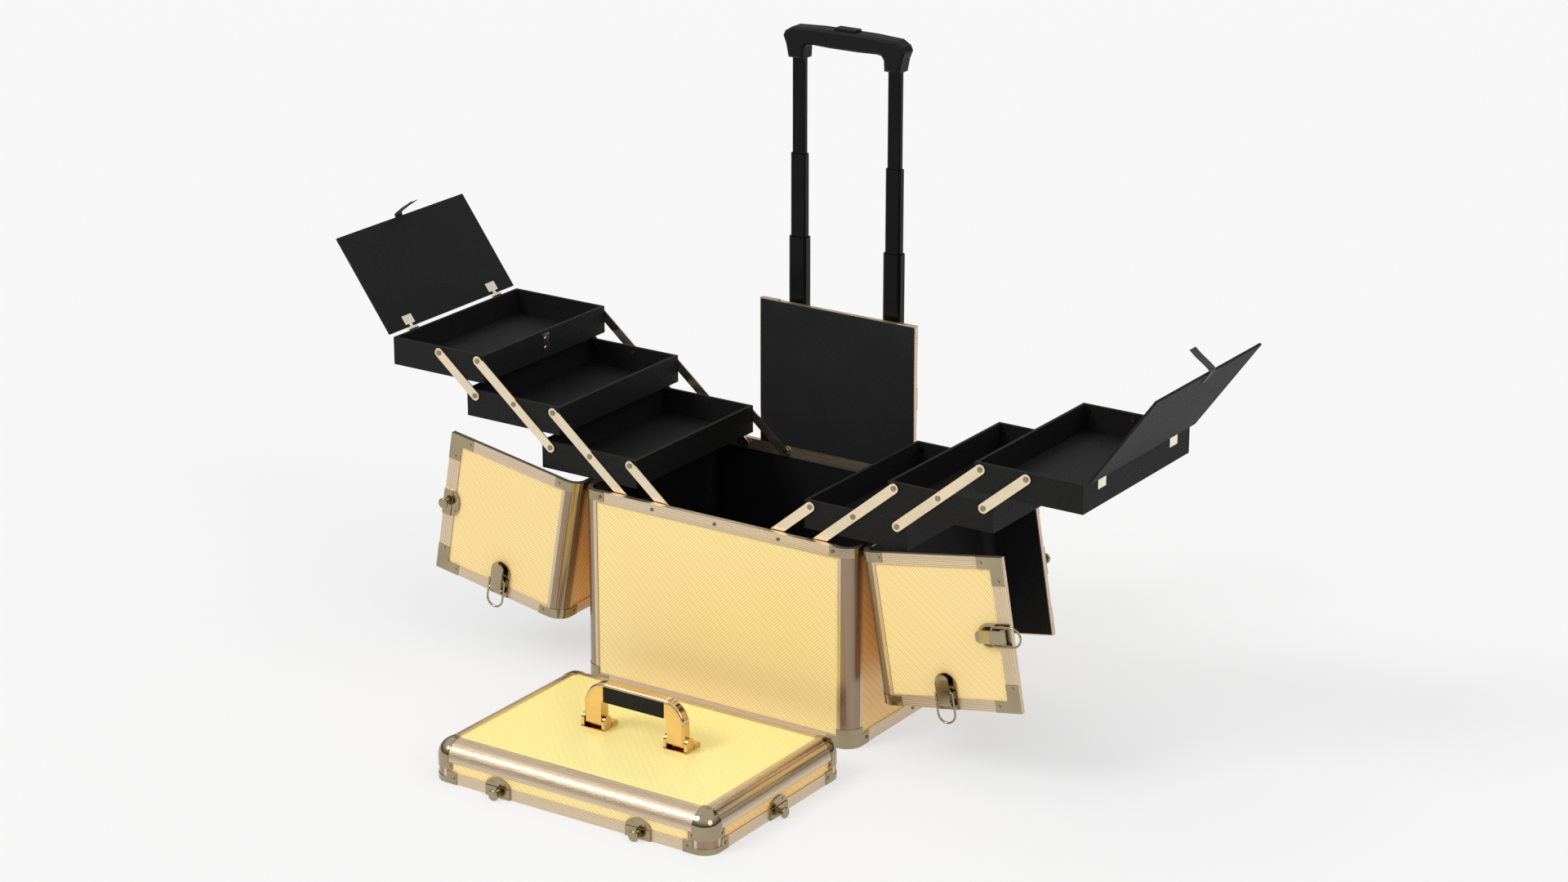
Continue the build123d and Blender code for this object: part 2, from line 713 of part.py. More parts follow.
def tray_body(level):
    """Open tray with holes for the rivets of its arms."""
    outer, top = tray_edges(level)
    pivots = (0, 1, 2) if level < tray_levels else (0, 1)
    half = tray_depth / 2
    with BuildPart() as made:
        block((outer - tray_width, -half, top - tray_height), (outer, half, top))
        block((outer - tray_width + tray_wall, tray_wall - half, top - tray_height + tray_floor),
              (outer - tray_wall, half - tray_wall, top + 1), mode=Mode.SUBTRACT)
        x, z = inner_pivot(level)
        with Locations(*[Plane((x + n * pivot_spacing, 0, z), z_dir=(0, 1, 0)) for n in pivots]):
            Cylinder(rivet_radius + running_clearance, 2 * half + 2, mode=Mode.SUBTRACT)
    return made.part


tray_hinge_spots = (-tray_hinge_spacing / 2, tray_hinge_spacing / 2)
top_outer, top_rim = tray_edges(tray_levels)
tray_hinge_x = top_outer + tray_hinge_offset
tray_hinge_z = top_rim + tray_hinge_rise
tray_knuckle = tray_hinge_length / 3


def tray_hinge_fixed():
    """Outer knuckles, leaves and pins of the two butterfly hinges, on the tray's outer wall."""
    with BuildPart() as leaves:
        for y in tray_hinge_spots:
            for sign in (-1, 1):
                middle = y + sign * tray_knuckle
                length = tray_knuckle - knuckle_gap
                with Locations(Plane((tray_hinge_x, middle, tray_hinge_z), z_dir=(0, 1, 0))):
                    Cylinder(tray_hinge_radius, length)
                block((top_outer, middle - length / 2, tray_hinge_z - 6),
                      (top_outer + tray_leaf_thickness, middle + length / 2, tray_hinge_z))
            block((top_outer, y - tray_hinge_length / 2, tray_hinge_z - tray_leaf_length),
                  (top_outer + tray_leaf_thickness, y + tray_hinge_length / 2, tray_hinge_z - 4))
            with Locations(Plane((tray_hinge_x, y, tray_hinge_z), z_dir=(0, 1, 0))):
                Cylinder(tray_hinge_pin, tray_hinge_length, mode=Mode.SUBTRACT)
    with BuildPart() as pins:
        for y in tray_hinge_spots:
            with Locations(Plane((tray_hinge_x, y, tray_hinge_z), z_dir=(0, 1, 0))):
                Cylinder(tray_hinge_pin, tray_hinge_length)
    return [leaves.part, pins.part]


def pull_plate():
    """Keeper plate with two studs that the lid's pull closes on."""
    inner = top_outer - tray_width
    studs = [((inner - tray_leaf_thickness, 0, top_rim - drop), (-1, 0, 0)) for drop in (10, 22)]
    with BuildPart() as plate:
        block((inner - tray_leaf_thickness, -pull_width / 2, top_rim - tray_height + 3),
              (inner, pull_width / 2, top_rim - 3))
        screw_holes(studs)
    return [plate.part, screws(studs)]


for level in range(1, tray_levels + 1):
    pieces = [tray_body(level)]
    if level == tray_levels:
        pieces += tray_hinge_fixed() + pull_plate()
    for side in (-1, 1):
        save(sided(group(*pieces), side), f"{side_name(side)}_tray_{level}")


def tray_arm(start, count, on_case):
    """Front and rear bars of one arm with their rivets; start is its lowest pivot."""
    x, z = start
    pivots = [(x + n * arm_dx, z + n * arm_dz) for n in range(count)]
    middle = ((pivots[0][0] + pivots[-1][0]) / 2, (pivots[0][1] + pivots[-1][1]) / 2)
    bars, rivets = [], []
    for sy in (-1, 1):
        face = Plane((middle[0], sy * arm_near, middle[1]), x_dir=(arm_dx, 0, arm_dz), z_dir=(0, sy, 0))
        with BuildPart() as bar:
            with BuildSketch(face):
                SlotCenterToCenter((count - 1) * arm_pitch, arm_width)
                with Locations(*[((n - (count - 1) / 2) * arm_pitch, 0) for n in range(count)]):
                    Circle(rivet_radius, mode=Mode.SUBTRACT)
            extrude(amount=arm_thickness)
        bars.append(bar.part)
        outer_face = arm_near + arm_thickness
        for n, (px, pz) in enumerate(pivots):
            if n == 0 and on_case:
                spans = ((rivet_radius, arm_near, half_d - inside + case_pivot_depth - 0.2),
                         (rivet_head_radius, outer_face, half_d - inside - 0.15))
            else:
                clinch = tray_depth / 2 - tray_wall - 0.2
                spans = ((rivet_radius, clinch - 0.8, outer_face),
                         (rivet_head_radius, outer_face, outer_face + rivet_head_height),
                         (rivet_head_radius, clinch - 0.8, clinch))
            with BuildPart() as rivet:
                for radius, near, far in spans:
                    with Locations(Plane((px, sy * (near + far) / 2, pz), z_dir=(0, 1, 0))):
                        Cylinder(radius, far - near)
            rivets.append(rivet.part)
    return group(*bars, *rivets)


def outer_pivot(level):
    x, z = inner_pivot(level)
    return x + 2 * pivot_spacing, z


arms = (
    ("arm_1", (first_pivot_x, pivot_z), 2, True),
    ("arm_2", (first_pivot_x + pivot_spacing, pivot_z), 3, True),
    ("arm_3", outer_pivot(1), 3, False),
    ("arm_4", outer_pivot(2), 2, False),
)
for arm_name, start, count, on_case in arms:
    arm = tray_arm(start, count, on_case)
    for side in (-1, 1):
        save(sided(arm, side), f"{side_name(side)}_{arm_name}")


# ---------------------------------------------------------------- lids of the top trays
def opened(part):
    """A right tray lid's piece, from the closed pose that it is modelled in to standing open."""
    return part.rotate(Axis((tray_hinge_x, 0, tray_hinge_z), (0, 1, 0)), tray_lid_open)


lid_edge_x = top_outer - tray_lid_edge
lid_under = top_rim + tray_lid_rise
leaf_gap = 0.3


def tray_lid():
    """Board, the two hinge leaves under it and their screws, closed on the right tray."""
    half = tray_depth / 2
    with BuildPart() as board:
        block((lid_edge_x - tray_lid_width, -half, lid_under),
              (lid_edge_x, half, lid_under + tray_lid_thickness))
    with BuildPart() as leaves:
        for y in tray_hinge_spots:
            length = tray_knuckle - knuckle_gap
            with Locations(Plane((tray_hinge_x, y, tray_hinge_z), z_dir=(0, 1, 0))):
                Cylinder(tray_hinge_radius, length)
            block((lid_edge_x - 6, y - length / 2, lid_under - tray_leaf_thickness),
                  (tray_hinge_x, y + length / 2, lid_under))
            block((lid_edge_x - tray_leaf_length, y - tray_hinge_length / 2, lid_under - tray_leaf_thickness),
                  (lid_edge_x - tray_wall + tray_lid_edge - leaf_gap, y + tray_hinge_length / 2, lid_under))
            with Locations(Plane((tray_hinge_x, y, tray_hinge_z), z_dir=(0, 1, 0))):
                Cylinder(tray_hinge_pin + running_clearance, length + 1, mode=Mode.SUBTRACT)
    return group(board.part, leaves.part)


def lid_pull():
    """Fabric pull: stitched on top of the lid, over its free edge and down outside the tray."""
    free_x = lid_edge_x - tray_lid_width
    top = lid_under + tray_lid_thickness + pull_thickness / 2 + 0.05
    bend = 4.0
    with BuildPart() as made:
        with BuildSketch(Plane.XZ):
            with BuildLine():
                Line((free_x + 16, top), (free_x - 1.2, top))
                RadiusArc((free_x - 1.2, top), (free_x - 1.2 - bend, top - bend), -bend)
                Line((free_x - 1.2 - bend, top - bend), (free_x - 1.2 - bend, top - bend - pull_drop))
            trace(line_width=pull_thickness)
        extrude(amount=pull_width / 2, both=True)
    return made.part


for side in (-1, 1):
    save(sided(opened(tray_lid()), side), f"{side_name(side)}_tray_lid")
    save(sided(opened(lid_pull()), side), f"{side_name(side)}_lid_pull")


# ---------------------------------------------------------------- lift-off lid
def rounded_lid(proud, radius, low, high):
    """Lid-shaped solid: upright and top edges rounded, grown by a distance."""
    with BuildPart() as made:
        block((lid_x - half_w - proud, lid_y - half_d - proud, low),
              (lid_x + half_w + proud, lid_y + half_d + proud, high))
        fillet(made.edges().filter_by(Axis.Z) + made.faces().sort_by(Axis.Z)[-1].edges(), radius)
    return made.part


lid_outside = rounded_lid(0, corner_radius, 0, lid_height)
lid_inside = rounded_lid(-frame_thickness, corner_radius - frame_thickness, -1, lid_height - frame_thickness)
lid_cap_outside = rounded_lid(cap_thickness, corner_radius + cap_thickness, 0, lid_height + cap_thickness)

lid_open_x = half_w - corner_reach
lid_open_y = half_d - corner_reach
with BuildPart() as lid_frame:
    add(lid_outside)
    add(lid_inside, mode=Mode.SUBTRACT)
    block((lid_x - lid_open_x, lid_y - lid_open_y, lid_height / 2),
          (lid_x + lid_open_x, lid_y + lid_open_y, lid_height + 1), mode=Mode.SUBTRACT)
    block((lid_x - lid_open_x, lid_y - half_d - 1, lid_rim_height),
          (lid_x + lid_open_x, lid_y + half_d + 1, lid_strip_top), mode=Mode.SUBTRACT)
    block((lid_x - half_w - 1, lid_y - lid_open_y, lid_rim_height),
          (lid_x + half_w + 1, lid_y + lid_open_y, lid_strip_top), mode=Mode.SUBTRACT)
    for sign in (-1, 1):
        for x, y, dx, dy in ((sign * lid_open_x, 0, joint_gap, case_depth + 2),
                             (0, sign * lid_open_y, case_width + 2, joint_gap)):
            with Locations((lid_x + x, lid_y + y, lid_height / 2)):
                Box(dx, dy, lid_height + 2, mode=Mode.SUBTRACT)
save(lid_frame.part, "lid_frame")

with BuildPart() as lid_boards:
    block((lid_x - lid_open_x, lid_y - lid_open_y, lid_height - inside),
          (lid_x + lid_open_x, lid_y + lid_open_y, lid_height - board_recess))
    for sign in (-1, 1):
        near, far = sorted((lid_y + sign * (half_d - inside), lid_y + sign * (half_d - board_recess)))
        block((lid_x - lid_open_x, near, lid_rim_height), (lid_x + lid_open_x, far, lid_strip_top))
        near, far = sorted((lid_x + sign * (half_w - inside), lid_x + sign * (half_w - board_recess)))
        block((near, lid_y - lid_open_y, lid_rim_height), (far, lid_y + lid_open_y, lid_strip_top))
save(lid_boards.part, "lid_boards")

lid_cap_seats = []
for sx, sy in all_corners:
    for inset, z in ((bracket_reach - bracket_screw_inset, bracket_height / 2),
                     (lid_tab_reach - tab_screw_inset, (lid_cap_low + lid_tab_top) / 2)):
        lid_cap_seats += [
            ((lid_x + sx * (half_w - inset), lid_y + sy * (half_d + cap_thickness), z), (0, sy, 0)),
            ((lid_x + sx * (half_w + cap_thickness), lid_y + sy * (half_d - inset), z), (sx, 0, 0)),
        ]
# each zone: heights, then how far from the corner it starts and ends
lid_cap_zones = (
    (lid_height - lid_cap_reach, lid_height + 2, 0, lid_cap_reach),
    (lid_cap_low, lid_height - lid_cap_reach, 0, corner_reach),
    (lid_cap_low, lid_tab_top, corner_reach, lid_tab_reach),
    (0, lid_band_height, 0, corner_reach),
    (0, bracket_height, corner_reach, bracket_reach),
)
with BuildPart() as lid_cap_zone:
    for sx, sy in all_corners:
        for low, high, start, end in lid_cap_zones:
            for x_start, y_start in ((start, -2), (-2, start)):
                x_end = end if x_start == start or start == 0 else 2
                y_end = end if y_start == start or start == 0 else 2
                x_low, x_high = sorted((lid_x + sx * (half_w - x_start), lid_x + sx * (half_w - x_end)))
                y_low, y_high = sorted((lid_y + sy * (half_d - y_start), lid_y + sy * (half_d - y_end)))
                block((x_low, y_low, low), (x_high, y_high, high))
with BuildPart() as lid_caps:
    add(lid_cap_outside)
    add(lid_outside, mode=Mode.SUBTRACT)
    add(lid_cap_zone.part, mode=Mode.INTERSECT)
    screw_holes(lid_cap_seats)
save(group(lid_caps.part, screws(lid_cap_seats)), "lid_corner_caps")

lid_catch_planes = [
    Plane((lid_x + sx * latch_x, lid_front, 0), x_dir=(1, 0, 0), z_dir=(0, -1, 0)) for sx in (-1, 1)
] + [
    Plane((lid_x + sx * half_w, lid_y, 0), x_dir=(0, sx, 0), z_dir=(sx, 0, 0)) for sx in (-1, 1)
]

# ---------------------------------------------------------------- carrying handle
bail_z = lid_height + bail_pivot_height
leg_middle = (bail_half_width + bail_inner_half) / 2
leg_half = (bail_half_width - bail_inner_half) / 2
bail_pin_radius = 3.0
ear_inner = leg_half + 0.3

bail_plane = Plane((lid_x, lid_y, bail_z), x_dir=(1, 0, 0), z_dir=(0, -1, 0))
leg_spots = [lid_x - leg_middle, lid_x + leg_middle]

with BuildPart() as lid_handle_bail:
    with BuildSketch(bail_plane) as bail_outline:
        with Locations((0, (bail_top - bail_half_depth) / 2)):
            Rectangle(2 * bail_half_width, bail_top + bail_half_depth)
        fillet(bail_outline.vertices().group_by(Axis.Y)[-1], bail_corner_radius)
        with Locations((0, (bail_top - bail_bar_height - bail_half_depth - 1) / 2)):
            RectangleRounded(2 * bail_inner_half, bail_top - bail_bar_height + bail_half_depth + 1, 3,
                             mode=Mode.SUBTRACT)
        with Locations((0, -bail_half_depth)):
            Rectangle(2 * bail_inner_half, bail_half_depth, mode=Mode.SUBTRACT)
    extrude(amount=bail_half_depth, both=True)
    fillet(lid_handle_bail.edges().filter_by(GeomType.CIRCLE).filter_by(
        lambda edge: abs(edge.radius - bail_corner_radius) < 0.01), bail_edge_round)
    with BuildSketch(Plane((lid_x, lid_y, bail_z), x_dir=(0, 1, 0), z_dir=(1, 0, 0))):
        Circle(bail_half_depth)
        with Locations((0, bail_top / 2 + 1)):
            Rectangle(2 * bail_half_depth, bail_top + 2)
    extrude(amount=2 * bail_half_width, both=True, mode=Mode.INTERSECT)
    with Locations(Plane((lid_x, lid_y, bail_z), z_dir=(1, 0, 0))):
        Cylinder(bail_pin_radius + running_clearance, 3 * bail_half_width, mode=Mode.SUBTRACT)
save(lid_handle_bail.part, "lid_handle_bail")

with BuildPart() as lid_handle_grip:
    bar_low = bail_z + bail_top - bail_bar_height
    bar_high = bail_z + bail_top - 4
    block((lid_x - grip_half_length, lid_y - bail_half_depth - grip_proud, bar_low - grip_proud),
          (lid_x + grip_half_length, lid_y + bail_half_depth + grip_proud, bar_high))
    fillet(lid_handle_grip.edges().filter_by(Axis.X), 1.0)
    block((lid_x - grip_half_length, lid_y - bail_half_depth, bar_low),
          (lid_x + grip_half_length, lid_y + bail_half_depth, bar_high + 1), mode=Mode.SUBTRACT)
save(lid_handle_grip.part, "lid_handle_grip")


def handle_foot(x):
    """Base with two ears round a leg of the bail, and a heel that stops it upright."""
    with BuildPart() as made:
        block((x - ear_inner - foot_ear, lid_y - bail_half_depth - 2, lid_top),
              (x + ear_inner + foot_ear, lid_y + foot_heel, lid_top + foot_base))
        block((x - ear_inner - foot_ear, lid_y + bail_half_depth + 1, lid_top),
              (x + ear_inner + foot_ear, lid_y + foot_heel, bail_z - 3))
        chamfer(made.faces().sort_by(Axis.Y)[-1].edges().group_by(Axis.Z)[-1], 3.0)
        for sign in (-1, 1):
            inner = x + sign * ear_inner
            with BuildSketch(Plane((inner, lid_y, bail_z), x_dir=(0, 1, 0), z_dir=(1, 0, 0))):
                Circle(bail_half_depth)
                with Locations((0, (lid_top - bail_z) / 2)):
                    Rectangle(2 * bail_half_depth, bail_z - lid_top)
            extrude(amount=sign * foot_ear)
        with Locations(Plane((x, lid_y, bail_z), z_dir=(1, 0, 0))):
            Cylinder(bail_pin_radius, 4 * leg_half, mode=Mode.SUBTRACT)
    return made.part


def foot_pin(x):
    with BuildPart() as made:
        with Locations(Plane((x, lid_y, bail_z), z_dir=(1, 0, 0))):
            Cylinder(bail_pin_radius, 2 * (ear_inner + foot_ear))
    return made.part


lid_catches = [knob_catch(plane) for plane in lid_catch_planes]
save(group(*lid_catches, *[make(x) for x in leg_spots for make in (handle_foot, foot_pin)]), "lid_fittings")


# ---------------------------------------------------------------- trolley handle
def tube_outline(size, offset=0.0):
    """Rectangular tube section with chamfered corners."""
    width, depth = size[0] + 2 * offset, size[1] + 2 * offset
    with BuildSketch() as made:
        Rectangle(width, depth)
        chamfer(made.vertices(), tube_chamfer * depth / outer_tube[1])
    return made.sketch


def tube_pair(size, bottom, top):
    """The left and right tubes of one stage of the handle."""
    wall = size[2]
    outer = tube_outline(size)
    inner = tube_outline(size, -wall)
    with BuildPart() as made:
        with BuildSketch(Plane.XY.offset(bottom)):
            for sx in (-1, 1):
                with Locations((sx * tube_half_spacing, tube_y)):
                    add(outer)
                    add(inner, mode=Mode.SUBTRACT)
        extrude(amount=top - bottom)
    return made.part


def tube_yoke(bottom, top):
    """Moulded blocks that hold the outer tubes off the case's back."""
    outline = tube_outline(outer_tube)
    with BuildPart() as made:
        for sx in (-1, 1):
            x = sx * tube_half_spacing
            block((x - outer_tube[0] / 2 - 5, half_d - board_recess, bottom),
                  (x + outer_tube[0] / 2 + 5, tube_y + 12, top))
            fillet(made.edges().filter_by(Axis.Z).group_by(Axis.Y)[-1].filter_by(
                lambda edge: abs(edge.center().X - x) < outer_tube[0]), 4)
            with BuildSketch(Plane.XY.offset(bottom)):
                with Locations((x, tube_y)):
                    add(outline)
            extrude(amount=top - bottom, mode=Mode.SUBTRACT)
    return made.part


grip_bottom = inner_tube[3]
save(group(tube_pair(outer_tube, tube_foot, outer_tube[3]), tube_yoke(tube_foot - 6, tube_foot + 34),
           tube_yoke(upper_top - 74, upper_top - 46)), "handle_outer_tubes")
save(tube_pair(middle_tube, middle_tube[3] - middle_tube_length, middle_tube[3]), "handle_middle_tubes")
save(tube_pair(inner_tube, grip_bottom - inner_tube_length, grip_bottom + grip_socket), "handle_inner_tubes")

grip_right = (
    (tube_half_spacing - 10.8, 0), (tube_half_spacing + 10.8, 0), (grip_half_width - 4, 16),
    (grip_half_width, 26), (grip_half_width - 3, 32), (grip_half_width - 13, grip_height - 2),
    (36, grip_height),
)
grip_under = ((20, grip_arch), (tube_half_spacing - 21, grip_arch + 1), (tube_half_spacing - 15, grip_arch),
              (tube_half_spacing - 11.5, 13))
grip_outline = [*grip_right, *[(-x, z) for x, z in reversed(grip_right)],
                *[(-x, z) for x, z in reversed(grip_under)], *grip_under]
inner_outline = tube_outline(inner_tube)
with BuildPart() as handle_grip:
    with BuildSketch(Plane((0, tube_y, grip_bottom), x_dir=(1, 0, 0), z_dir=(0, -1, 0))):
        Polygon(*grip_outline, align=None)
    extrude(amount=grip_half_depth, both=True)
    grip_edges = handle_grip.edges().group_by(Axis.Y)
    chamfer(grip_edges[0] + grip_edges[-1], grip_chamfer)
    with BuildSketch(Plane.XY.offset(grip_bottom)):
        for sx in (-1, 1):
            with Locations((sx * tube_half_spacing, tube_y)):
                add(inner_outline)
    extrude(amount=grip_socket, mode=Mode.SUBTRACT)
    grip_top = grip_bottom + grip_height
    pocket_gap = 0.4
    block((-button_half_length - pocket_gap, tube_y - button_half_depth - pocket_gap, grip_top - 11),
          (button_half_length + pocket_gap, tube_y + button_half_depth + pocket_gap, grip_top + 1),
          mode=Mode.SUBTRACT)
save(handle_grip.part, "handle_grip")

with BuildPart() as handle_button:
    block((-button_half_length, tube_y - button_half_depth, grip_top - 11 + button_travel + 1),
          (button_half_length, tube_y + button_half_depth, grip_top + button_height))
    fillet(handle_button.faces().sort_by(Axis.Z)[-1].edges(), 1.5)
save(handle_button.part, "handle_button")

# ---------------------------------------------------------------- wheels
wheel_y = half_d + wheel_behind
wheel_z = wheel_radius + wheel_lift
cheek_gap = 1.0
cheek = 4.0
# the cheek's outline, from the axle's middle
housing_below, housing_above = 19.0, 34.0
roof_reach, nose_reach = 6.0, 16.0
nose_top, nose_bottom, heel_bottom = 20.0, -6.0, -14.0
housing_plate = 3.0
hub_recess, hub_boss, tyre_round = 4.0, 3.0, 2.5


def wheel_housing(x):
    """Bracket on the case's back: two cheeks that hold the axle, joined by a back plate."""
    inner = wheel_width / 2 + cheek_gap
    with BuildPart() as made:
        for sign in (-1, 1):
            near = x + sign * inner
            with BuildSketch(Plane((near, wheel_y, wheel_z), x_dir=(0, 1, 0), z_dir=(1, 0, 0))):
                with BuildLine():
                    Polyline((-wheel_behind, -housing_below), (-wheel_behind, housing_above),
                             (roof_reach, housing_above), (nose_reach, nose_top), (nose_reach, nose_bottom),
                             (roof_reach, heel_bottom), (-wheel_behind, -housing_below))
                make_face()
                Circle(axle_radius, mode=Mode.SUBTRACT)
            extrude(amount=sign * cheek)
        block((x - inner - cheek, half_d, wheel_z - housing_below),
              (x + inner + cheek, half_d + housing_plate, wheel_z + housing_above))
        block((x - inner - cheek, half_d, wheel_z + housing_above - cheek),
              (x + inner + cheek, wheel_y + roof_reach, wheel_z + housing_above))
    return made.part


def wheel_axle(x):
    with BuildPart() as made:
        with Locations(Plane((x, wheel_y, wheel_z), z_dir=(1, 0, 0))):
            Cylinder(axle_radius, wheel_width + 2 * (cheek_gap + cheek))
    return made.part


def wheel(x):
    """Moulded hub with a rubber tyre."""
    rim = wheel_radius - tyre_thickness
    with BuildPart() as hub:
        with Locations(Plane((x, wheel_y, wheel_z), z_dir=(1, 0, 0))):
            Cylinder(rim, wheel_width - hub_recess)
            Cylinder(axle_radius + hub_boss, wheel_width)
            Cylinder(axle_radius + running_clearance, wheel_width + 1, mode=Mode.SUBTRACT)
    with BuildPart() as tyre:
        with Locations(Plane((x, wheel_y, wheel_z), z_dir=(1, 0, 0))):
            Cylinder(wheel_radius, wheel_width)
            Cylinder(rim, wheel_width + 1, mode=Mode.SUBTRACT)
        fillet(tyre.edges().filter_by(GeomType.CIRCLE).filter_by(
            lambda edge: abs(edge.radius - wheel_radius) < 0.01), tyre_round)
    return group(hub.part, tyre.part)


save(group(*[make(sx * wheel_x) for sx in (-1, 1) for make in (wheel_housing, wheel_axle)]),
     "wheel_housings")
for side in (-1, 1):
    save(wheel(side * wheel_x), f"{side_name(side)}_wheel")
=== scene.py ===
import math
import bmesh
import bpy
from mathutils import Matrix, Vector


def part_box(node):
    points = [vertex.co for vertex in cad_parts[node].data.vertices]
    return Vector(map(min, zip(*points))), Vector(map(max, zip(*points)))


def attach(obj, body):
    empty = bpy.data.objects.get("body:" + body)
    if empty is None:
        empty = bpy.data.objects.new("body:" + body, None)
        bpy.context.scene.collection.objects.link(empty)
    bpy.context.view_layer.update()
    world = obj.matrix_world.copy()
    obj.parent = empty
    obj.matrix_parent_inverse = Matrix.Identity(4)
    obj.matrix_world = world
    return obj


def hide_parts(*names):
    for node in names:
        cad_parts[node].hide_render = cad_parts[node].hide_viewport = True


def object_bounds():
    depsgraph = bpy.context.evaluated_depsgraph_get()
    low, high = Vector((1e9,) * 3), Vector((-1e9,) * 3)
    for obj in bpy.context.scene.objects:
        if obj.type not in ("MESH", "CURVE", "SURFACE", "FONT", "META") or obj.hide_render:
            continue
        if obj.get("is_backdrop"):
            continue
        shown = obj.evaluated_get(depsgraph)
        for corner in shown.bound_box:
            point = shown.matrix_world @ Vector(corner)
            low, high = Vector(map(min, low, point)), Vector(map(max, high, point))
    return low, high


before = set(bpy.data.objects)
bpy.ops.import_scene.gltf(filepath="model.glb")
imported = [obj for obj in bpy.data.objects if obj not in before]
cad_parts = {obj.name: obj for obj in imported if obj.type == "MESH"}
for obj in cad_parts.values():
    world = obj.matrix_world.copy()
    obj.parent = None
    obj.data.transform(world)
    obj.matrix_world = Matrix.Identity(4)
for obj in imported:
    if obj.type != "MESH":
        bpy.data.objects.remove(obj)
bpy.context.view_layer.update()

# ---------------------------------------------------------------- camera and studio
# A long lens from the front right and a little above, over a pale light table that glows
# through its top, under a dome that is dim at the horizon and bright overhead. One wide soft
# lamp stands at the front left and a weaker one at the right.
camera_data = bpy.data.cameras.new("studio_camera")
camera_data.sensor_width = 36.0
camera_data.lens = 86.18
camera_data.clip_end = 200.0
camera = bpy.data.objects.new("studio_camera", camera_data)
camera.location = (2.3554, -3.5352, 1.7873)
camera.rotation_euler = (math.pi / 2 - 0.335, 0.0, 0.586)
bpy.context.scene.collection.objects.link(camera)
bpy.context.scene.camera = camera


def srgb(code, alpha=1.0):
    """Linear colour of an sRGB hex code."""
    channels = [int(code[i:i + 2], 16) / 255 for i in (1, 3, 5)]
    return [c / 12.92 if c <= 0.04045 else ((c + 0.055) / 1.055) ** 2.4 for c in channels] + [alpha]


def add(tree, kind, settings=None, **links):
    """A shader node with its settings; a link names an input and gives a socket or a value."""
    node = tree.nodes.new(kind)
    for name, value in (settings or {}).items():
        setattr(node, name, value)
    for name, value in links.items():
        socket = node.inputs[int(name[1:])] if name[1:].isdigit() else node.inputs[name.replace("_", " ")]
        if isinstance(value, bpy.types.NodeSocket):
            tree.links.new(value, socket)
        else:
            socket.default_value = value
    return node


def new_material(name):
    """An empty node tree with one Principled shader; returns the material, its tree and the shader."""
    made = bpy.data.materials.new(name)
    made.use_nodes = True
    tree = made.node_tree
    tree.nodes.clear()
    shader = add(tree, "ShaderNodeBsdfPrincipled")
    out = add(tree, "ShaderNodeOutputMaterial")
    tree.links.new(shader.outputs[0], out.inputs["Surface"])
    return made, tree, shader


light_table, tree, shader = new_material("light_table_top")
shader.inputs["Base Color"].default_value = (0.33, 0.33, 0.33, 1.0)
shader.inputs["Roughness"].default_value = 0.9
shader.inputs["Specular IOR Level"].default_value = 0.0
shader.inputs["Emission Color"].default_value = srgb("#FFFFFF")
shader.inputs["Emission Strength"].default_value = 0.57
floor_mesh = bpy.data.meshes.new("studio_floor")
floor_mesh.from_pydata([(-60, -60, 0), (60, -60, 0), (60, 60, 0), (-60, 60, 0)], [], [(0, 1, 2, 3)])
floor = bpy.data.objects.new("studio_floor", floor_mesh)
floor.data.materials.append(light_table)
bpy.context.scene.collection.objects.link(floor)
floor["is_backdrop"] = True

world = bpy.data.worlds.new("studio_dome")
world.use_nodes = True
tree = world.node_tree
way = add(tree, "ShaderNodeTexCoord").outputs["Generated"]
height = add(tree, "ShaderNodeSeparateXYZ", Vector=way).outputs["Z"]
glow = add(tree, "ShaderNodeMapRange", {"interpolation_type": "SMOOTHSTEP"}, Value=height,
           _1=0.02, _2=0.7, _3=0.10, _4=0.92).outputs[0]
tree.links.new(glow, tree.nodes["Background"].inputs["Strength"])
tree.nodes["Background"].inputs["Color"].default_value = srgb("#FFFFFF")
bpy.context.scene.world = world
bpy.context.scene.view_settings.view_transform = "Standard"

for name, source, angle, strength in (("front_left_lamp", (-1.6, -2.4, 2.6), 24.0, 1.15),
                                      ("right_lamp", (3.0, -1.0, 1.6), 30.0, 0.45)):
    lamp = bpy.data.lights.new(name, "SUN")
    lamp.angle = math.radians(angle)
    lamp.energy = strength
    light = bpy.data.objects.new(name, lamp)
    light.rotation_euler = (-Vector(source)).to_track_quat("-Z", "Y").to_euler()
    bpy.context.scene.collection.objects.link(light)


# ---------------------------------------------------------------- panels of the case, wings and lid
# MDF boards faced outside with gold embossed aluminium-look laminate: a fine diagonal weave of
# short raised dashes under clear lacquer. Inside, each board is lined with black leatherette.
WEAVE_PITCH = 0.0029          # metres between the dashes' rows
DASH_RATIO = 2.6              # a dash's length over its width
SKIN = 0.0002                 # a face this close to a board's outermost plane is its outside
hang = math.radians(170.2)    # how far an open wing hangs from its closed place
hinge_x, hinge_z = 0.1965, 0.2515


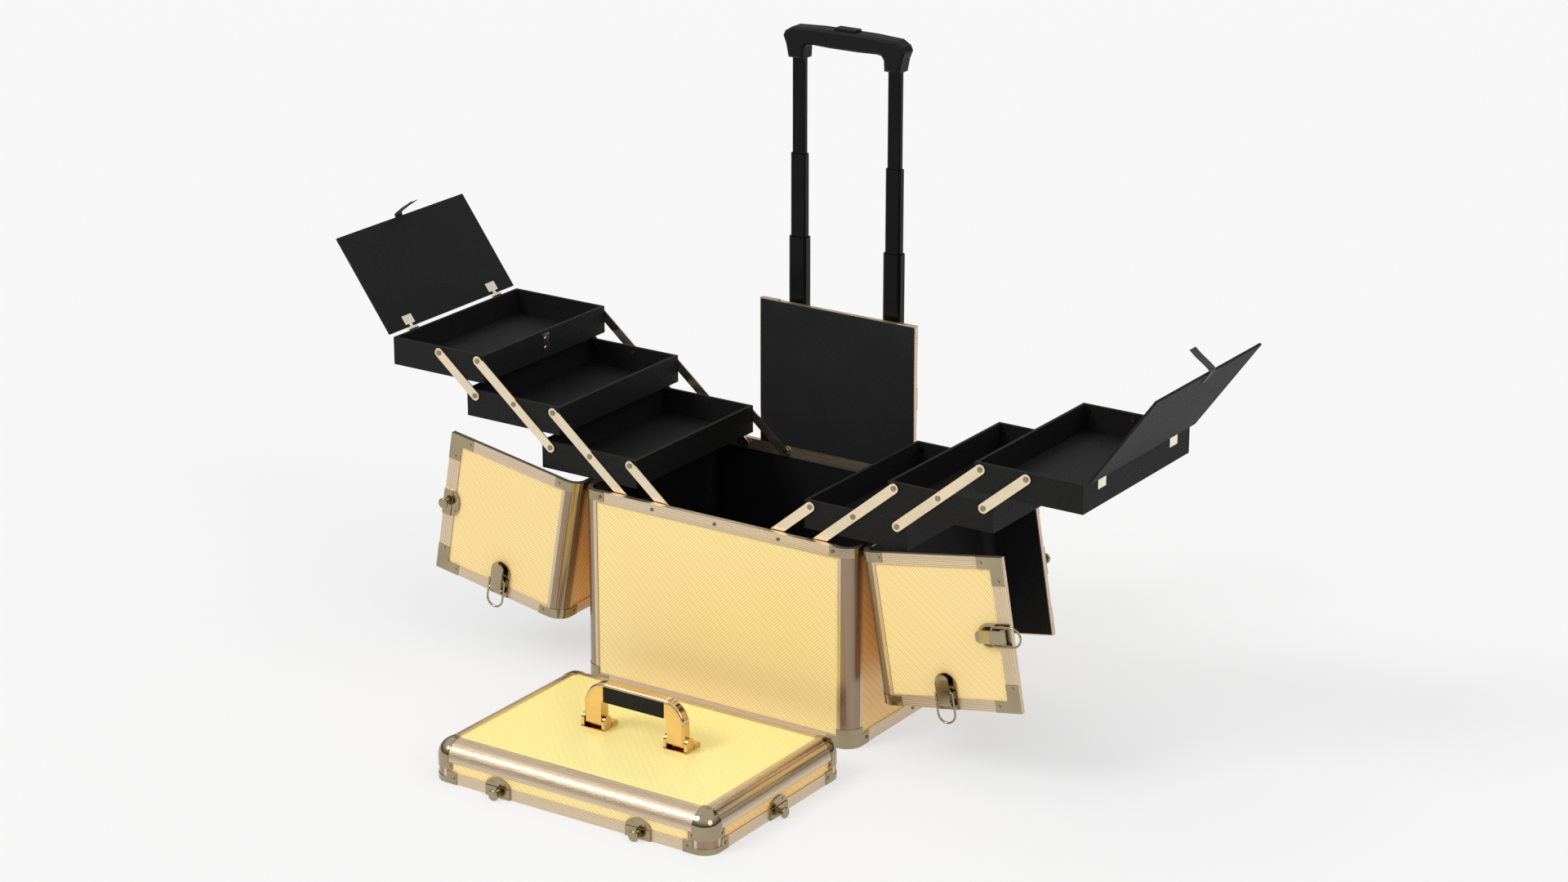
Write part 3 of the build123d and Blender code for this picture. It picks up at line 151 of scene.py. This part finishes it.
def gold_laminate(name, light, shade, face_axes, tilt=0.0):
    """Embossed gold laminate. face_axes: the two axes of the face; tilt turns a hanging wing back."""
    made, tree, shader = new_material(name)
    place = add(tree, "ShaderNodeTexCoord").outputs["Object"]
    if tilt:
        place = add(tree, "ShaderNodeMapping", Vector=place, Rotation=(0, tilt, 0)).outputs[0]
    axes = add(tree, "ShaderNodeSeparateXYZ", Vector=place).outputs
    across, up = axes[face_axes[0]], axes[face_axes[1]]
    both = {}
    for key, operation in (("sum", "ADD"), ("difference", "SUBTRACT")):
        joined = add(tree, "ShaderNodeMath", {"operation": operation}, _0=across, _1=up).outputs[0]
        repeat = WEAVE_PITCH * math.sqrt(2) * (1.0 if key == "difference" else DASH_RATIO)
        turns = add(tree, "ShaderNodeMath", {"operation": "MULTIPLY"},
                    _0=joined, _1=2 * math.pi / repeat).outputs[0]
        both[key] = add(tree, "ShaderNodeMath", {"operation": "SINE"}, _0=turns).outputs[0]
    dash = add(tree, "ShaderNodeMath", {"operation": "MULTIPLY_ADD"}, _0=both["sum"], _1=0.35,
               _2=both["difference"]).outputs[0]
    ridge = add(tree, "ShaderNodeMapRange", Value=dash, _1=-0.9, _2=0.9, _3=0.0, _4=1.0).outputs[0]
    cloud = add(tree, "ShaderNodeTexNoise", Vector=place, Scale=9.0, Detail=2.0).outputs[0]
    drift = add(tree, "ShaderNodeMapRange", Value=cloud, _1=0.3, _2=0.7, _3=-0.06, _4=0.06).outputs[0]
    mix = add(tree, "ShaderNodeMath", {"operation": "ADD", "use_clamp": True}, _0=ridge, _1=drift).outputs[0]
    colour = add(tree, "ShaderNodeMix", {"data_type": "RGBA"},
                 _0=mix, _6=srgb(shade), _7=srgb(light)).outputs[2]
    tree.links.new(colour, shader.inputs["Base Color"])
    rough = add(tree, "ShaderNodeMapRange", Value=ridge, _1=0.0, _2=1.0, _3=0.5, _4=0.36).outputs[0]
    tree.links.new(rough, shader.inputs["Roughness"])
    bump = add(tree, "ShaderNodeBump", Height=ridge, Strength=0.2, Distance=0.0002).outputs[0]
    tree.links.new(bump, shader.inputs["Normal"])
    shader.inputs["Metallic"].default_value = 0.1
    shader.inputs["Coat Weight"].default_value = 0.15
    shader.inputs["Coat Roughness"].default_value = 0.25
    return made


def leatherette(name, colour, grain_mm):
    """Black embossed lining or tray board: small uneven pebbles, matte with a soft sheen."""
    made, tree, shader = new_material(name)
    place = add(tree, "ShaderNodeTexCoord").outputs["Object"]
    cells = add(tree, "ShaderNodeTexVoronoi", {"feature": "SMOOTH_F1"}, Vector=place,
                Scale=1000.0 / grain_mm, Smoothness=0.6).outputs["Distance"]
    cloud = add(tree, "ShaderNodeTexNoise", Vector=place, Scale=14.0, Detail=4.0).outputs[0]
    tone = add(tree, "ShaderNodeMapRange", Value=cloud, _1=0.3, _2=0.7, _3=0.0, _4=1.0).outputs[0]
    darker = [c * 0.6 for c in srgb(colour)[:3]] + [1.0]
    shown = add(tree, "ShaderNodeMix", {"data_type": "RGBA"}, _0=tone, _6=darker, _7=srgb(colour)).outputs[2]
    tree.links.new(shown, shader.inputs["Base Color"])
    rough = add(tree, "ShaderNodeMapRange", Value=cells, _1=0.0, _2=0.8, _3=0.55, _4=0.8).outputs[0]
    tree.links.new(rough, shader.inputs["Roughness"])
    bump = add(tree, "ShaderNodeBump", Height=cells, Strength=0.3, Distance=0.0004).outputs[0]
    tree.links.new(bump, shader.inputs["Normal"])
    shader.inputs["Specular IOR Level"].default_value = 0.3
    return made


def finish_node(node, materials, choose):
    """Gives a CAD node its materials; choose says, from a face's middle and normal, which one."""
    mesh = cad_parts[node].data
    mesh.materials.clear()
    for made in materials:
        mesh.materials.append(made)
    if len(materials) > 1:
        for face in mesh.polygons:
            face.material_index = choose(face.center, face.normal)


lining = leatherette("black_leatherette_lining", "#090909", 1.6)
gold_case_front = gold_laminate("gold_laminate_front_and_back", "#FFEEA8", "#F9D48A", (0, 2))
# The sides take a darker, more orange copy of the same gold laminate: painted shade, with painted orange
# light bounced off the gold.
gold_case_side_painted_shade = gold_laminate("gold_laminate_sides_painted_shade", "#FFDC90", "#E9B062", (1, 2))
case_low, case_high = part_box("case_boards")
finish_node(
    "case_boards", (gold_case_front, gold_case_side_painted_shade, lining),
    lambda place, normal:
        0 if abs(normal.y) > 0.9 and min(place.y - case_low.y, case_high.y - place.y) < SKIN
        else 1 if abs(normal.x) > 0.9 and min(place.x - case_low.x, case_high.x - place.x) < SKIN
        else 2)

lid_low, lid_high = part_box("lid_boards")
# The lid's top takes a lighter, more lemon copy of the same gold laminate: painted light on the face turned
# up to the bright dome.
gold_lid_top_painted_light = gold_laminate("gold_laminate_lid_top_painted_light", "#FFF6A8", "#FAE592", (0, 1))
finish_node(
    "lid_boards", (gold_case_front, gold_case_side_painted_shade, gold_lid_top_painted_light, lining),
    lambda place, normal:
        2 if normal.z > 0.9 and place.z > lid_high.z - SKIN
        else 0 if abs(normal.y) > 0.9 and min(place.y - lid_low.y, lid_high.y - place.y) < SKIN
        else 1 if abs(normal.x) > 0.9 and min(place.x - lid_low.x, lid_high.x - place.x) < SKIN
        else 3)


def solid_sizes(node):
    """Longest extent, in metres, of the solid that each face of a CAD node belongs to."""
    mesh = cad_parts[node].data
    first = {}
    leader = [first.setdefault(tuple(round(c, 6) for c in vertex.co), vertex.index)
              for vertex in mesh.vertices]

    def find(index):
        while leader[index] != index:
            leader[index] = leader[leader[index]]
            index = leader[index]
        return index

    for edge in mesh.edges:
        leader[find(edge.vertices[0])] = find(edge.vertices[1])
    spans = {}
    for vertex in mesh.vertices:
        group = find(vertex.index)
        low, high = spans.get(group, (vertex.co.copy(), vertex.co.copy()))
        spans[group] = (Vector(map(min, low, vertex.co)), Vector(map(max, high, vertex.co)))
    extents = {group: max(high - low) for group, (low, high) in spans.items()}
    return [extents[find(face.vertices[0])] for face in mesh.polygons]


def finish_by_size(node, large, small, limit):
    """One material for a node's large solids and another for those shorter than limit metres."""
    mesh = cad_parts[node].data
    sizes = solid_sizes(node)
    mesh.materials.clear()
    mesh.materials.append(large)
    mesh.materials.append(small)
    for face, size in zip(mesh.polygons, sizes):
        face.material_index = int(size < limit)


def closed_pose(side):
    """Turns a hanging wing's point or direction back to where it is when the wing is closed."""
    return Matrix.Rotation(-side * hang, 3, "Y"), Vector((side * hinge_x, 0, hinge_z))


for name, side in (("right", 1), ("left", -1)):
    turn, pivot = closed_pose(side)
    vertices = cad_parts[f"{name}_wing_boards"].data.vertices
    corners = [turn @ (vertex.co - pivot) + pivot for vertex in vertices]
    outer_y = max(corner.y for corner in corners)
    outer_x = max(side * corner.x for corner in corners)
    wing_front = gold_laminate(f"gold_laminate_{name}_wing_front", "#FFEAA6", "#F7D08A", (0, 2), -side * hang)
    # The wing's sides take the same darker, more orange copy: painted shade, with painted bounced light.
    wing_side_painted_shade = gold_laminate(f"gold_laminate_{name}_wing_side_painted_shade", "#FFDC90", "#E9B062", (1, 2), -side * hang)

    def wing_face(place, normal):
        spot, facing = turn @ (place - pivot) + pivot, turn @ normal
        if abs(facing.y) > 0.9 and abs(spot.y) > outer_y - SKIN:
            return 0
        return 1 if abs(facing.x) > 0.9 and side * spot.x > outer_x - SKIN else 2

    finish_node(f"{name}_wing_boards", (wing_front, wing_side_painted_shade, lining), wing_face)
board_lining = leatherette("black_leatherette_back_board", "#1E1E1E", 1.6)
finish_node("upper_back_board", (board_lining, gold_case_front), lambda place, normal: int(normal.y > 0.9))


# ---------------------------------------------------------------- frame extrusions
# Champagne anodised aluminium: hollow profiles with fine grooves drawn along their length, and
# quarter-round posts at the corners. The brushing runs along each profile and catches the light.
def champagne_extrusion(name, run, tilt=0.0, colour="#E8D2B4", groove_mm=2.2, rough_low=0.26):
    """Anodised extrusion whose grooves run along an axis (0, 1 or 2) of the upright piece."""
    made, tree, shader = new_material(name)
    place = add(tree, "ShaderNodeTexCoord").outputs["Object"]
    if tilt:
        place = add(tree, "ShaderNodeMapping", Vector=place, Rotation=(0, tilt, 0)).outputs[0]
    stretch = [1.0, 1.0, 1.0]
    stretch[run] = 0.01
    along = add(tree, "ShaderNodeMapping", Vector=place, Scale=stretch).outputs[0]
    brushed = add(tree, "ShaderNodeTexNoise", Vector=along, Scale=900.0, Detail=3.0).outputs[0]
    streak = add(tree, "ShaderNodeTexNoise", Vector=along, Scale=150.0, Detail=2.0).outputs[0]
    axes = add(tree, "ShaderNodeSeparateXYZ", Vector=place).outputs
    first, second = [axes[n] for n in range(3) if n != run]
    joined = add(tree, "ShaderNodeMath", {"operation": "ADD"}, _0=first, _1=second).outputs[0]
    turns = add(tree, "ShaderNodeMath", {"operation": "MULTIPLY"}, _0=joined,
                _1=2000 * math.pi / groove_mm).outputs[0]
    wave = add(tree, "ShaderNodeMath", {"operation": "SINE"}, _0=turns).outputs[0]
    groove = add(tree, "ShaderNodeMapRange", Value=wave, _1=-1.0, _2=-0.2, _3=0.0, _4=1.0).outputs[0]
    # The colour darkens where the grooves sink: painted shade in grooves that exist only as bump; the streaks
    # are the brushing's own uneven tone.
    streak_and_groove_shade = add(tree, "ShaderNodeMath", {"operation": "MULTIPLY_ADD"},
                _0=streak, _1=0.5, _2=groove).outputs[0]
    tone = add(tree, "ShaderNodeMapRange", Value=streak_and_groove_shade, _1=0.2, _2=1.3, _3=0.0, _4=1.0).outputs[0]
    dark = [c * 0.5 for c in srgb(colour)[:3]] + [1.0]
    shown = add(tree, "ShaderNodeMix", {"data_type": "RGBA"}, _0=tone, _6=dark, _7=srgb(colour)).outputs[2]
    tree.links.new(shown, shader.inputs["Base Color"])
    rough = add(tree, "ShaderNodeMapRange", Value=brushed, _1=0.3, _2=0.7,
                _3=rough_low, _4=rough_low + 0.14).outputs[0]
    tree.links.new(rough, shader.inputs["Roughness"])
    height = add(tree, "ShaderNodeMath", {"operation": "MULTIPLY_ADD"},
                 _0=brushed, _1=0.2, _2=groove).outputs[0]
    bump = add(tree, "ShaderNodeBump", Height=height, Strength=0.35, Distance=0.0002).outputs[0]
    tree.links.new(bump, shader.inputs["Normal"])
    shader.inputs["Metallic"].default_value = 0.9
    return made


upright_profile = champagne_extrusion("anodised_upright_profile", 2)
cross_profile = champagne_extrusion("anodised_cross_profile", 0)
depth_profile = champagne_extrusion("anodised_depth_profile", 1)
# The rounded faces are smoother and take darker copies of the champagne colour: painted shade standing for
# the dark surroundings they reflect; the anodising itself is one colour.
painted_shade_round_post = champagne_extrusion("polished_painted_shade_round_post", 2, 0.0, "#A8927A", 1.5, 0.14)
painted_shade_round_cross = champagne_extrusion("polished_painted_shade_round_cross", 0, 0.0, "#D4BFA2", 1.5, 0.16)
painted_shade_round_depth = champagne_extrusion("polished_painted_shade_round_depth", 1, 0.0, "#D4BFA2", 1.5, 0.16)
post_reach = 0.0219           # how far a corner post reaches along each side
shell_depth = 0.004           # faces deeper than this are on the inside of a post
ROUND_BELOW = 0.985           # a face whose normal has no component above this is on a rounded part
case_half_width, case_half_depth = 0.194, 0.135


def profile_of(low, high):
    """Which profile a face is on: upright or along x or y, then their rounded parts, then a lined inside."""
    middle = (low + high) / 2

    def choose(place, normal):
        near_x = min(place.x - low.x, high.x - place.x)
        near_y = min(place.y - low.y, high.y - place.y)
        # rounded faces take the darker copies: painted shade
        rounded = 3 if max(map(abs, normal)) < ROUND_BELOW else 0
        if near_x < post_reach and near_y < post_reach:
            inward = (middle - place) * Vector((1, 1, 0))
            lined = min(near_x, near_y) > shell_depth and normal.dot(inward.normalized()) > 0.2
            return 6 if lined else rounded
        return (1 if near_y < near_x else 2) + rounded
    return choose


for node in ("case_frame", "lid_frame"):
    low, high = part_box(node)
    finish_node(node, (upright_profile, cross_profile, depth_profile, painted_shade_round_post, painted_shade_round_cross, painted_shade_round_depth,
                       lining), profile_of(low, high))
upright_from, upright_to = 0.265, 0.4225    # the upper back board's uprights lie between these heights
finish_node("upper_back_frame", (upright_profile, cross_profile),
            lambda place, normal: 0 if upright_from < place.z < upright_to else 1)
trim_above, trim_below = 0.2661, 0.4229     # a closed wing's upright trims lie between its rims
for name, side in (("right", 1), ("left", -1)):
    turn, pivot = closed_pose(side)
    profiles = [champagne_extrusion(f"anodised_{name}_wing_{word}", run, -side * hang)
                for word, run in (("upright", 2), ("cross", 0), ("depth", 1))]
    # The wing's rounded post takes the darker copy too: painted shade.
    profiles.append(champagne_extrusion(f"polished_{name}_wing_post_painted_shade", 2, -side * hang, "#A8927A", 1.5, 0.14))
    profiles.append(lining)

    def wing_profile(place, normal):
        spot = turn @ (place - pivot) + pivot
        near_x, near_y = case_half_width - side * spot.x, case_half_depth - abs(spot.y)
        if near_x < post_reach and near_y < post_reach:
            facing = turn @ normal
            outward = side * facing.x + math.copysign(1, spot.y) * facing.y
            if min(near_x, near_y) > shell_depth and outward < -0.3:
                return 4
            return 3 if max(map(abs, facing)) < ROUND_BELOW else 0
        if trim_above < spot.z < trim_below:
            return 0
        return 1 if near_y < near_x else 2

    finish_node(f"{name}_wing_frame", profiles, wing_profile)


# ---------------------------------------------------------------- caps, brackets, latches and handle
# Pressed and cast steel plated with pale gold nickel: bright, nearly mirror-smooth, a little
# browner in the recesses, with faint handling scratches. Screws are small and darker.
def gold_nickel(name, colour, rough_low=0.1, rough_high=0.24, scratch_mm=0.5):
    """Pale gold plating, cloudy in colour and roughness, with fine scratches scratch_mm apart."""
    made, tree, shader = new_material(name)
    place = add(tree, "ShaderNodeTexCoord").outputs["Object"]
    cloud = add(tree, "ShaderNodeTexNoise", Vector=place, Scale=35.0, Detail=4.0).outputs[0]
    rough = add(tree, "ShaderNodeMapRange", Value=cloud, _1=0.3, _2=0.7,
                _3=rough_low, _4=rough_high).outputs[0]
    tree.links.new(rough, shader.inputs["Roughness"])
    tone = add(tree, "ShaderNodeMapRange", Value=cloud, _1=0.35, _2=0.65, _3=0.0, _4=1.0).outputs[0]
    dark = [c * 0.88 for c in srgb(colour)[:3]] + [1.0]
    shown = add(tree, "ShaderNodeMix", {"data_type": "RGBA"}, _0=tone, _6=dark, _7=srgb(colour)).outputs[2]
    tree.links.new(shown, shader.inputs["Base Color"])
    stretched = add(tree, "ShaderNodeMapping", Vector=place, Scale=(1.0, 0.15, 0.4)).outputs[0]
    scratch = add(tree, "ShaderNodeTexNoise", Vector=stretched,
                  Scale=1000 / scratch_mm, Detail=2.0).outputs[0]
    bump = add(tree, "ShaderNodeBump", Height=scratch, Strength=0.06, Distance=0.0001).outputs[0]
    tree.links.new(bump, shader.inputs["Normal"])
    shader.inputs["Metallic"].default_value = 1.0
    return made


plated_cap = gold_nickel("gold_nickel_caps", "#A99A7E", 0.07, 0.16)
plated_bright = gold_nickel("gold_nickel_handle", "#E0BE8C", 0.05, 0.12)
SCREW_SPAN = 0.0075           # no screw is longer than this, and nothing else is shorter
HANDLE_FOOT_FROM = 0.044      # the lid's catches lie lower than this, and the handle's feet higher
screw_steel = gold_nickel("nickel_screws", "#7C705C", 0.2, 0.34)
for node in ("case_corner_caps", "lid_corner_caps", "left_wing_fittings", "right_wing_fittings",
             "wing_hinges", "back_latch_plates"):
    finish_by_size(node, plated_cap, screw_steel, SCREW_SPAN)
finish_node("lid_handle_bail", (plated_bright,), None)
finish_node("lid_fittings", (plated_bright, plated_cap),
            lambda place, normal: int(place.z < HANDLE_FOOT_FROM))
finish_node("case_screws", (screw_steel,), None)
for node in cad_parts:
    if node.endswith(("_lever", "_hoop")):
        finish_node(node, (plated_cap,), None)


# ---------------------------------------------------------------- carrying handle's grip
# Black soft PVC moulded round the bar, matte with a fine moulded texture.
soft_pvc = leatherette("black_soft_pvc", "#101010", 0.8)
finish_node("lid_handle_grip", (soft_pvc,), None)


# ---------------------------------------------------------------- trays, tray lids and arms
# Trays and their lids are thin boards covered with black leatherette. The arms are flat steel
# bars with a satin champagne plating, held by small round rivets.
tray_cover = leatherette("black_leatherette_trays", "#0B0B0B", 1.2)
hinge_plate = gold_nickel("bright_nickel_hinges", "#F4EBD6", 0.1, 0.2)
satin_arm = gold_nickel("champagne_plated_arms", "#F2E0C2", 0.24, 0.36, 0.8)
RIVET_SPAN, HINGE_SPAN = 0.02, 0.03         # longest extents of a rivet and of a tray hinge's part
arm_rivet = gold_nickel("dark_nickel_rivets", "#9C8B70", 0.22, 0.36)
for name in ("left", "right"):
    for level in (1, 2):
        finish_by_size(f"{name}_tray_{level}", tray_cover, arm_rivet, RIVET_SPAN)
    for number in (1, 2, 3, 4):
        finish_by_size(f"{name}_arm_{number}", satin_arm, arm_rivet, RIVET_SPAN)
    finish_by_size(f"{name}_tray_3", tray_cover, hinge_plate, HINGE_SPAN)
    finish_by_size(f"{name}_tray_lid", tray_cover, hinge_plate, HINGE_SPAN)


# ---------------------------------------------------------------- pulls of the tray lids
# A short strip of black grosgrain ribbon, glued and stitched on top of each tray lid: it runs
# over the lid's free edge and hangs down outside the tray. Ribs run across it, 0.9 mm apart.
ribbon, tree, shader = new_material("black_grosgrain_ribbon")
place = add(tree, "ShaderNodeUVMap", {"uv_map": "ribbon_metres"}).outputs[0]
axes = add(tree, "ShaderNodeSeparateXYZ", Vector=place).outputs
rib_pitch = 0.0009
turns = add(tree, "ShaderNodeMath", {"operation": "MULTIPLY"},
            _0=axes["Y"], _1=2 * math.pi / rib_pitch).outputs[0]
ribs = add(tree, "ShaderNodeMath", {"operation": "SINE"}, _0=turns).outputs[0]
threads = add(tree, "ShaderNodeTexNoise", Vector=place, Scale=2500.0, Detail=2.0).outputs[0]
weave = add(tree, "ShaderNodeMath", {"operation": "MULTIPLY_ADD"}, _0=threads, _1=0.8, _2=ribs).outputs[0]
tone = add(tree, "ShaderNodeMapRange", Value=weave, _1=-0.8, _2=1.6, _3=0.0, _4=1.0).outputs[0]
shown = add(tree, "ShaderNodeMix", {"data_type": "RGBA"},
            _0=tone, _6=srgb("#060606"), _7=srgb("#242424")).outputs[2]
tree.links.new(shown, shader.inputs["Base Color"])
bump = add(tree, "ShaderNodeBump", Height=weave, Strength=0.5, Distance=0.0002).outputs[0]
tree.links.new(bump, shader.inputs["Normal"])
shader.inputs["Roughness"].default_value = 0.8
shader.inputs["Sheen Weight"].default_value = 0.2
shader.inputs["Sheen Roughness"].default_value = 0.5

lid_pin = Vector((0.48863, 0.0, 0.38747))
lid_turn = Matrix.Rotation(math.radians(126.0), 3, "Y")
free_edge, ribbon_top, bend, overhang = 0.34943, 0.39132, 0.004, 0.03
stitched = 0.0172
half_width = 0.007
ribbon_length = stitched + bend * math.pi / 2 + overhang
STEPS_ALONG, STEPS_ACROSS = 60, 8


def along_ribbon(distance):
    """Place in the closed lid's upright plane, and outward direction, that far along the ribbon."""
    if distance <= stitched:
        return Vector((free_edge + 0.016 - distance, 0, ribbon_top)), Vector((0, 0, 1))
    turned = (distance - stitched) / bend
    middle = Vector((free_edge - 0.0012, 0, ribbon_top - bend))
    if turned <= math.pi / 2:
        out = Vector((-math.sin(turned), 0, math.cos(turned)))
        return middle + out * bend, out
    return middle + Vector((-bend, 0, -(turned - math.pi / 2) * bend)), Vector((-1, 0, 0))


for name, side in (("right", 1), ("left", -1)):
    mesh = bpy.data.meshes.new(f"{name}_ribbon_pull")
    made = bmesh.new()
    layer = made.loops.layers.uv.new("ribbon_metres")
    rows = []
    for step in range(STEPS_ALONG + 1):
        distance = ribbon_length * step / STEPS_ALONG
        spot, out = along_ribbon(distance)
        loose = max(0.0, (distance - stitched) / (ribbon_length - stitched))
        row = []
        for cut in range(STEPS_ACROSS + 1):
            across = 2 * cut / STEPS_ACROSS - 1
            cupped = 0.0005 * loose * across * across
            rippled = 0.0004 * loose * math.sin(distance * 240 + side)
            at = spot + out * (cupped + rippled) + Vector((0, across * half_width, 0))
            at = lid_turn @ (at - lid_pin) + lid_pin
            vertex = made.verts.new((side * at.x, at.y, at.z))
            row.append((vertex, (across * half_width, distance)))
        rows.append(row)
    for near, far in zip(rows, rows[1:]):
        for cut in range(STEPS_ACROSS):
            corners = [near[cut], near[cut + 1], far[cut + 1], far[cut]]
            face = made.faces.new([corner[0] for corner in corners])
            face.smooth = True
            for loop, corner in zip(face.loops, corners):
                loop[layer].uv = corner[1]
    made.to_mesh(mesh)
    made.free()
    mesh.materials.append(ribbon)
    pull = bpy.data.objects.new(f"{name}_ribbon_pull", mesh)
    bpy.context.scene.collection.objects.link(pull)
    thick = pull.modifiers.new("ribbon_thickness", "SOLIDIFY")
    thick.thickness = 0.0007
    thick.offset = 0.0
    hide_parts(f"{name}_lid_pull")
    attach(pull, f"{name}_tray_lid")


# ---------------------------------------------------------------- trolley handle
# Telescopic tubes of black anodised aluminium with chamfered corners, glossy, and a faceted
# grip moulded in black ABS with a fine spark-eroded texture and a raised push button.
def black_gloss(name, colour, rough, grit_mm, strength):
    """Black metal or plastic, slightly uneven in gloss, with a fine grit of that strength."""
    made, tree, shader = new_material(name)
    place = add(tree, "ShaderNodeTexCoord").outputs["Object"]
    grit = add(tree, "ShaderNodeTexNoise", Vector=place, Scale=1000.0 / grit_mm, Detail=3.0).outputs[0]
    cloud = add(tree, "ShaderNodeTexNoise", Vector=place, Scale=22.0, Detail=4.0).outputs[0]
    uneven = add(tree, "ShaderNodeMapRange", Value=cloud, _1=0.3, _2=0.7,
                 _3=rough, _4=rough + 0.14).outputs[0]
    tree.links.new(uneven, shader.inputs["Roughness"])
    light = [min(1.0, c * 1.5) for c in srgb(colour)[:3]] + [1.0]
    shown = add(tree, "ShaderNodeMix", {"data_type": "RGBA"}, _0=cloud, _6=srgb(colour), _7=light).outputs[2]
    tree.links.new(shown, shader.inputs["Base Color"])
    bump = add(tree, "ShaderNodeBump", Height=grit, Strength=strength, Distance=0.0002).outputs[0]
    tree.links.new(bump, shader.inputs["Normal"])
    shader.inputs["Specular IOR Level"].default_value = 0.14
    return made


black_tube = black_gloss("black_anodised_tube", "#030303", 0.24, 0.6, 0.03)
black_abs = black_gloss("black_abs_grip", "#101010", 0.4, 0.5, 0.15)
for node in ("handle_outer_tubes", "handle_middle_tubes", "handle_inner_tubes"):
    finish_node(node, (black_tube,), None)
for node in ("handle_grip", "handle_button", "wheel_housings"):
    finish_node(node, (black_abs,), None)


# ---------------------------------------------------------------- wheels
# Grey-black polyurethane tyres on moulded nylon hubs; the tyres' material covers the whole wheel, hubs too.
tyre_rubber = black_gloss("polyurethane_tyre", "#1C1C1C", 0.55, 0.8, 0.2)
for name in ("left", "right"):
    finish_node(f"{name}_wheel", (tyre_rubber,), None)

low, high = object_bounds()
